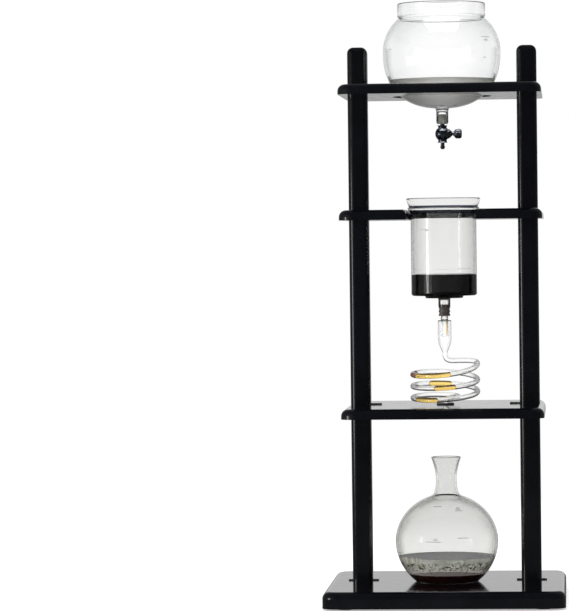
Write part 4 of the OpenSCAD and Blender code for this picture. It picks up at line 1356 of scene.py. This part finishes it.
@dataclass
class Flask:
    """The round-bellied flask with coffee, a thin cloudy layer over it, and froth."""

    radius: float = 56.1
    rise: float = 51.3
    middle: float = 64.62
    foot: float = 34.0
    wall: float = 1.8
    waist: float = 11.2
    waist_z: float = 131.6
    neck_foot: float = 119.0
    flare: float = 0.4792
    top: float = 156.6
    floor_z: float = 20.3
    silt_depth: float = 1.6
    stray: float = 0.0

    def neck_radius(self, z: np.ndarray, wall: float) -> np.ndarray:
        """Returns the neck's radius: the root of the waist squared and the flare's rise squared."""
        return np.sqrt((self.waist - wall) ** 2 + ((z - self.waist_z) * self.flare) ** 2)

    def side(self, wall: float) -> np.ndarray:
        """Works out the flask's side at a depth into its wall, from the heel up to the lip.

        Below the middle it is an arc; over it, an ellipse up to the throat, a cubic curve
        round the throat, and the flared neck.

        Args:
            wall: The depth in mm, 0 for the outside.

        Returns:
            Points (radius, height).
        """
        r, rise = self.radius - wall, self.rise - wall
        low = np.linspace(-math.asin((self.middle - self.floor_z - wall) / r), 0, 46)[:-1]
        belly = np.column_stack([r * np.cos(low), self.middle + r * np.sin(low)])
        high = np.linspace(0, math.asin(0.905), 50)
        bulb = np.column_stack([r * np.cos(high), self.middle + rise * np.sin(high)])
        neck_z = np.linspace(self.neck_foot, self.top, 36)
        neck = np.column_stack([self.neck_radius(neck_z, wall), neck_z])
        reach = np.linalg.norm(neck[0] - bulb[-1]) * 0.42
        after = bulb[-1] + unit(bulb[-1] - bulb[-2]) * reach
        before = neck[0] + unit(neck[0] - neck[1]) * reach
        throat = bezier([bulb[-1], after, before, neck[0]], 16)
        return np.concatenate([belly, bulb, throat[1:-1], neck])

    def radius_at(self, z: np.ndarray) -> np.ndarray:
        """Returns the flask's outer radius at a height, read off its side."""
        side = self.side(0)
        return np.interp(z, side[:, 1], side[:, 0])

    def inside_at(self, z: np.ndarray) -> np.ndarray:
        """Returns the radius inside the glass at heights in the belly."""
        return np.sqrt((self.radius - self.wall) ** 2 - (self.middle - z) ** 2)

    def build_glass(self) -> None:
        """Turns the flask's wall: slightly raised floor, belly, throat, flared neck, rolled lip."""
        lip_z, z = self.top - 0.9, self.floor_z
        outer, inner = (s[s[:, 1] < self.top - 1.0] for s in (self.side(0), self.side(self.wall)))
        lip_r = float(self.neck_radius(np.array(lip_z), 0)) - 0.75
        profile = np.concatenate([
            [[0, z + 1.1], [16, z + 1.0], [self.foot - 6, z + 0.6], [self.foot - 2.5, z + 0.05]],
            outer, fillet([lip_r, lip_z], 0.9, -10, 190, 13), inner[::-1],
            [[20, z + self.wall + 0.5], [0, z + self.wall + 0.5]],
        ])
        glass = revolve("flask_glass", profile, 192)
        settle(glass, "flask", FLASK_GLASS, "clear_glass", "flask")

    def layer(self, name: str, low: float, high: float, into: float) -> bpy.types.Object:
        """Makes a layer of liquid that reaches into the wall and creeps up it.

        Args:
            name: The piece's name.
            low: The layer's foot in mm.
            high: Its top.
            into: How far it reaches into the glass.

        Returns:
            The piece.
        """
        r = self.radius - self.wall + into
        z = np.linspace(low, high + 0.9, 30)
        side = np.column_stack([np.sqrt(r * r - (self.middle - z) ** 2), z])
        edge = side[-1]
        creep = bezier([[0, high], [edge[0] - 9, high], [edge[0] - 1.4, high + 0.05], edge], 12)
        foot = [[0, low], [side[0, 0] * 0.5, low]]
        return revolve(name, np.concatenate([foot, side, creep[::-1][1:]]))

    def disc(
        self, name: str, level: float, gap: float, low: float, high: float
    ) -> bpy.types.Object:
        """Makes a thin film across the flask.

        Args:
            name: The piece's name.
            level: The height that it lies on.
            gap: How far it stays off the wall.
            low: Its underside over the level.
            high: Its top over the level.

        Returns:
            The piece.
        """
        r = float(self.inside_at(np.array(level))) - gap
        under, over = level + low, level + high
        return revolve(name, np.array([[0, under], [r, under], [r, over], [0, over]]), 120)

    def stroke(self, turn: float, low: float, high: float, lean: float, thick: float) -> Arrays:
        """Works out a streak of froth on the wall.

        Args:
            turn: Its foot's place, in degrees from the photograph's view.
            low: Its foot in mm.
            high: Its head.
            lean: How many degrees it moves round as it climbs.
            thick: Its radius.

        Returns:
            The points and the faces.
        """
        steps = np.linspace(0, 1, 12)
        z = low + (high - low) * steps
        a = np.radians(turn + VIEW_TURN + lean * steps)
        path = round_wall(self.inside_at(z) - thick * 0.7, a, z)
        return rod_arrays(path, thick, 10, thick * 1.5)

    def scatter(self, rng: np.random.Generator, count: int, heights: Row, sizes: Row) -> Arrays:
        """Works out bubbles between two heights, on the wall or a mean of stray off it.

        Args:
            rng: The seeded source of chance.
            count: How many.
            heights: The lowest and the highest place in mm.
            sizes: Their least and greatest radius.

        Returns:
            The points and the faces.
        """
        low, high = heights
        a = rng.uniform(0, 2 * np.pi, count)
        z = low + rng.beta(1.6, 1.8, count) * (high - low)
        size = rng.uniform(*sizes, count)
        r = self.inside_at(z) - size * 0.4 - rng.exponential(self.stray, count)
        return beads(np.column_stack([r * np.cos(a), r * np.sin(a), z]), size, 0.8)

    def build_froth(self) -> None:
        """Adds a bead edge round the coffee's top, a lumpy ring over it, a film and streaks."""
        rng = np.random.default_rng(7)
        coffee, top = high_z("flask_coffee") - self.silt_depth, high_z("flask_thin_brew")
        pale = [
            self.scatter(rng, 330, (coffee - 0.8, coffee + 1.2), (0.4, 1.0)),
            self.scatter(rng, 120, (coffee + 5.0, coffee + 12.0), (0.4, 1.1)),
            # a pale rod low on the right of the wall, leaning as it climbs, that puts a bright
            # streak there
            self.stroke(58, 24.5, 34.0, 9.0, 0.8),
        ]
        for a in rng.uniform(-84, -26, 30):
            low, high = top - rng.uniform(2, 6), top + rng.uniform(1, 3.5)
            pale.append(self.stroke(a, low, high, rng.uniform(-2, 2), rng.uniform(0.35, 0.7)))
        dark = self.scatter(rng, 150, (coffee + 5.0, coffee + 11.5), (0.3, 1.0))
        froth = make_piece("flask_froth", *join_arrays(pale), 180)
        settle(froth, "flask", FROTH, "thin_brew")
        settle(make_piece("flask_specks", *dark, 180), "flask", SPECKS, "dark_coffee")
        film = self.disc("flask_film", top, 0.3, 0.05, 0.25)
        settle(film, "flask", SCUM, "thin_brew")
        silt = self.disc("flask_silt", coffee, 0.2, 0.1, 0.4)
        settle(silt, "flask", SILT, "thin_brew")

    def build_marks(self) -> None:
        """Prints the two columns of filling marks and their numbers."""
        rows = [(-23.0, -9.0, 104.3), (12.7, 24.8, 99.8), (-24.0, -6.5, 67.2), (12.0, 24.5, 71.2)]
        parts = [wall_patch(self.radius_at, (a, b), (z - 0.25, z + 0.25)) for a, b, z in rows]
        parts.append(numeral_arrays("600", 2.4, self.radius_at, 18.5, 101.0))
        parts.append(numeral_arrays("200", 2.4, self.radius_at, -13.0, 68.4))
        marks = make_piece("flask_marks", *join_arrays(parts))
        settle(marks, "flask", PRINT_DARK, "clear_glass")

    def build(self) -> None:
        """Makes the glass, what is in it, and its marks."""
        self.build_glass()
        level = high_z("flask_coffee") - self.silt_depth
        dark = self.layer("flask_coffee_dark", self.floor_z + 0.15, level, 1.3)
        settle(dark, "flask", FLASK_COFFEE, "dark_coffee", "flask_coffee")
        top = high_z("flask_thin_brew")
        thin = self.layer("flask_brew_thin", level + 0.05, top, INTO_WALL)
        settle(thin, "flask", THIN_BREW, "thin_brew", "flask_thin_brew")
        self.build_froth()
        self.build_marks()


# ---------------------------------------------------------------- stage


class Shade(Enum):
    """How bright the surroundings are, as plain light levels."""

    SEEN = 1.0
    THROUGH = 1.12
    THROUGH_LOW = 0.2
    BACK = 0.75
    BACK_LOW = 0.34
    SIDE = 0.15
    FRONT = 0.06
    GLOW = 0.25
    DIFFUSE = 0.55
    FLOOR_SEEN = 0.42
    FLOOR_MIRRORED = 0.13


def cosine(degrees: float) -> float:
    """Returns the cosine of an angle in degrees."""
    return math.cos(math.radians(degrees))


def from_front(degrees: float) -> tuple[float, float]:
    """Returns the level direction (x, y) that is this far to the right of the tower's front."""
    a = math.radians(degrees)
    return math.sin(a), -math.cos(a)


def placed(side: np.ndarray, up: np.ndarray, back: np.ndarray, spot: Row) -> Matrix:
    """Returns the matrix of a lamp or a camera at a spot in metres, looking away from back."""
    turn = Matrix(np.column_stack([side, up, back]).tolist()).to_4x4()
    return Matrix.Translation([float(v) for v in spot]) @ turn


@dataclass(frozen=True)
class SoftLamp:
    """An area lamp that faces the tower; turn is in degrees to the camera's right."""

    name: str
    turn: float
    distance: float
    height: float
    wide: float
    tall: float
    watts: float
    mirrored: bool = True
    through: bool = True

    def place(self) -> None:
        """Puts the lamp in its place, facing the tower's middle."""
        light = bpy.data.lights.new(self.name, "AREA")
        light.shape, light.size, light.size_y = "RECTANGLE", self.wide, self.tall
        light.energy = self.watts
        lamp = new_object(self.name, light)
        lamp.visible_glossy, lamp.visible_transmission = self.mirrored, self.through
        x, y = from_front(self.turn + VIEW_TURN)
        spot = np.array([self.distance * x, self.distance * y, self.height])
        back = unit(spot - np.array([0, 0, TOWER_MIDDLE]))
        side = unit(np.cross([0, 0, 1.0], back))
        lamp.matrix_world = placed(side, np.cross(back, side), back, spot)


LAMPS = (
    SoftLamp("strip_left", -60, 1.9, 0.27, 0.3, 0.44, 2.6),
    SoftLamp("strip_low", -60, 1.9, -0.15, 0.3, 0.4, 0.6),
    SoftLamp("halo_left", -60, 1.95, 0.27, 1.1, 0.44, 1.3),
    SoftLamp("fill_left", -60, 1.9, 0.42, 0.9, 1.7, 26.0, mirrored=False, through=False),
    SoftLamp("fill_right", 60, 1.9, 0.42, 0.62, 1.3, 7.0, mirrored=False, through=False),
    SoftLamp("soft_top", 5, 0.35, 2.1, 1.4, 1.4, 22.0, mirrored=False),
)


@dataclass(frozen=True)
class Paper(Finish):
    """Matt white paper that a camera ray sees as white wherever no shadow falls.

    A ray bent through glass sees it so too where it meets it flat, and a mirrored ray sees
    it dark.
    """

    def surface(self, tree: Tree) -> Socket:
        """Returns the shader: 1.2 mm fibres, and a glow that depends on the kind of ray."""
        fibres = span(tree, noise(tree, 1.2), 0.86, 0.9)
        inputs = {"Red": fibres, "Green": fibres, "Blue": fibres}
        pale = add_node(tree, "ShaderNodeCombineColor", inputs).outputs["Color"]
        paper = add_node(tree, "ShaderNodeBsdfDiffuse", {"Color": pale}).outputs["BSDF"]
        ray = add_node(tree, "ShaderNodeLightPath").outputs
        flat = span(tree, facing_away(tree), 0.0, 1.0, 0.62, 0.86)
        bent = math_node(tree, "MULTIPLY", ray["Is Transmission Ray"], flat)
        seen = math_node(tree, "MAXIMUM", ray["Is Camera Ray"], bent)
        lift = math_node(tree, "MULTIPLY", seen, Shade.FLOOR_SEEN.value)
        glow = add_node(tree, "ShaderNodeEmission", {"Strength": lift}).outputs["Emission"]
        both = add_node(tree, "ShaderNodeAddShader", {0: paper, 1: glow}).outputs["Shader"]
        low = {"Strength": Shade.FLOOR_MIRRORED.value}
        dark = add_node(tree, "ShaderNodeEmission", low).outputs["Emission"]
        lit = math_node(tree, "MAXIMUM", seen, ray["Is Diffuse Ray"])
        return mix_shader(tree, lit, dark, both)


@dataclass
class Stage:
    """The floor, the surroundings, the lamps and the photograph's camera."""

    floor_r: float = 1500.0
    camera_spot: tuple[float, float, float] = (138.6, -4000.3, 396.9)
    yaw: float = 4.495
    pitch: float = -1.036
    roll: float = -0.676
    focal: float = 3646.6
    width: int = 569

    def build_floor(self) -> None:
        """Lays a round paper floor: a fan of triangles round its middle."""
        count = 128
        t = np.linspace(0, 2 * np.pi, count, endpoint=False)
        rim = self.floor_r * np.column_stack([np.cos(t), np.sin(t), np.zeros(count)])
        here = np.arange(count)
        fan = np.column_stack([here, np.roll(here, -1), np.full(count, count)])
        floor = make_piece("floor", np.concatenate([rim, [[0, 0, 0]]]), [fan])
        Paper("floor_paper_matt_white").put_on(floor)

    def toward(self, tree: Tree, way: Socket, turn: float) -> Socket:
        """Measures how nearly a ray goes in a level direction.

        Args:
            tree: The node tree.
            way: The ray's direction.
            turn: The level direction, in degrees to the right of the tower's front.

        Returns:
            The cosine of the angle between them.
        """
        inputs = {0: way, 1: (*from_front(turn), 0.0)}
        node = add_node(tree, "ShaderNodeVectorMath", inputs, operation="DOT_PRODUCT")
        return node.outputs["Value"]

    def build_world(self) -> None:
        """Makes the surroundings, read by each kind of ray in its own way.

        A camera ray sees white. A ray bent through glass sees white before and behind the
        tower, and dark at its sides and towards the ground. A mirrored ray sees a white wall
        within 13 degrees of straight behind that fades out at 30 and dims under the horizon,
        a soft glow round the left lamps, and near darkness in front.
        """
        world = bpy.data.worlds.new("studio")
        bpy.context.scene.world = world
        tree = bare_tree(world)
        way = add_node(tree, "ShaderNodeTexCoord").outputs["Generated"]
        split = add_node(tree, "ShaderNodeSeparateXYZ", {"Vector": way}).outputs
        behind = self.toward(tree, way, 180 + VIEW_TURN)
        wall = span(tree, behind, 0.0, 1.0, cosine(30), cosine(13))
        bright = span(tree, split["Z"], Shade.BACK_LOW.value, Shade.BACK.value, -0.07, 0.01)
        aside = span(tree, split["Y"], Shade.FRONT.value, Shade.SIDE.value, -0.3, 0.4)
        left = self.toward(tree, way, -60 + VIEW_TURN)
        glow = span(tree, left, 0.0, Shade.GLOW.value, cosine(50), 1.0)
        mirrored = math_node(tree, "ADD", mix_value(tree, wall, aside, bright), glow)
        low = span(tree, split["Z"], Shade.THROUGH_LOW.value, Shade.THROUGH.value, -0.45, -0.12)
        along = math_node(tree, "MAXIMUM", behind, math_node(tree, "MULTIPLY", behind, -1.0))
        through = math_node(tree, "MULTIPLY", low, span(tree, along, 0.3, 1.0, 0.15, 0.72))
        ray = add_node(tree, "ShaderNodeLightPath").outputs
        level = mix_value(tree, ray["Is Glossy Ray"], Shade.DIFFUSE.value, mirrored)
        level = mix_value(tree, ray["Is Transmission Ray"], level, through)
        level = mix_value(tree, ray["Is Camera Ray"], level, Shade.SEEN.value)
        inputs = {"Color": (1, 1, 1, 1), "Strength": level}
        sky = add_node(tree, "ShaderNodeBackground", inputs).outputs["Background"]
        add_node(tree, "ShaderNodeOutputWorld", {"Surface": sky})

    def build_camera(self) -> None:
        """Puts the camera where the photograph was taken from, by yaw, pitch and roll."""
        yaw, pitch, roll = (math.radians(v) for v in (self.yaw, self.pitch, self.roll))
        level = math.cos(pitch)
        ahead = np.array([-math.sin(yaw) * level, math.cos(yaw) * level, math.sin(pitch)])
        right = np.array([math.cos(yaw), math.sin(yaw), 0.0])
        up = np.cross(right, ahead)
        c, s = math.cos(roll), math.sin(roll)
        right, up = c * right + s * up, c * up - s * right
        view = bpy.data.cameras.new("view")
        view.sensor_fit, view.sensor_width = "HORIZONTAL", 36.0
        view.lens = self.focal * view.sensor_width / self.width
        view.clip_start, view.clip_end = 0.05, 60.0
        camera = new_object("view", view)
        camera.matrix_world = placed(right, up, -ahead, [v * MM for v in self.camera_spot])
        bpy.context.scene.camera = camera

    def build(self) -> None:
        """Sets the stage and keeps colours as they are written."""
        self.build_floor()
        self.build_world()
        for lamp in LAMPS:
            lamp.place()
        self.build_camera()
        bpy.context.scene.view_settings.view_transform = "Standard"


def main() -> None:
    logging.basicConfig(level=logging.INFO, format="%(name)s %(message)s")
    for part in (Stage(), Stand(), Reservoir(), Brewer(), Spiral(), Flask()):
        part.build()


if __name__ == "__main__":
    main()
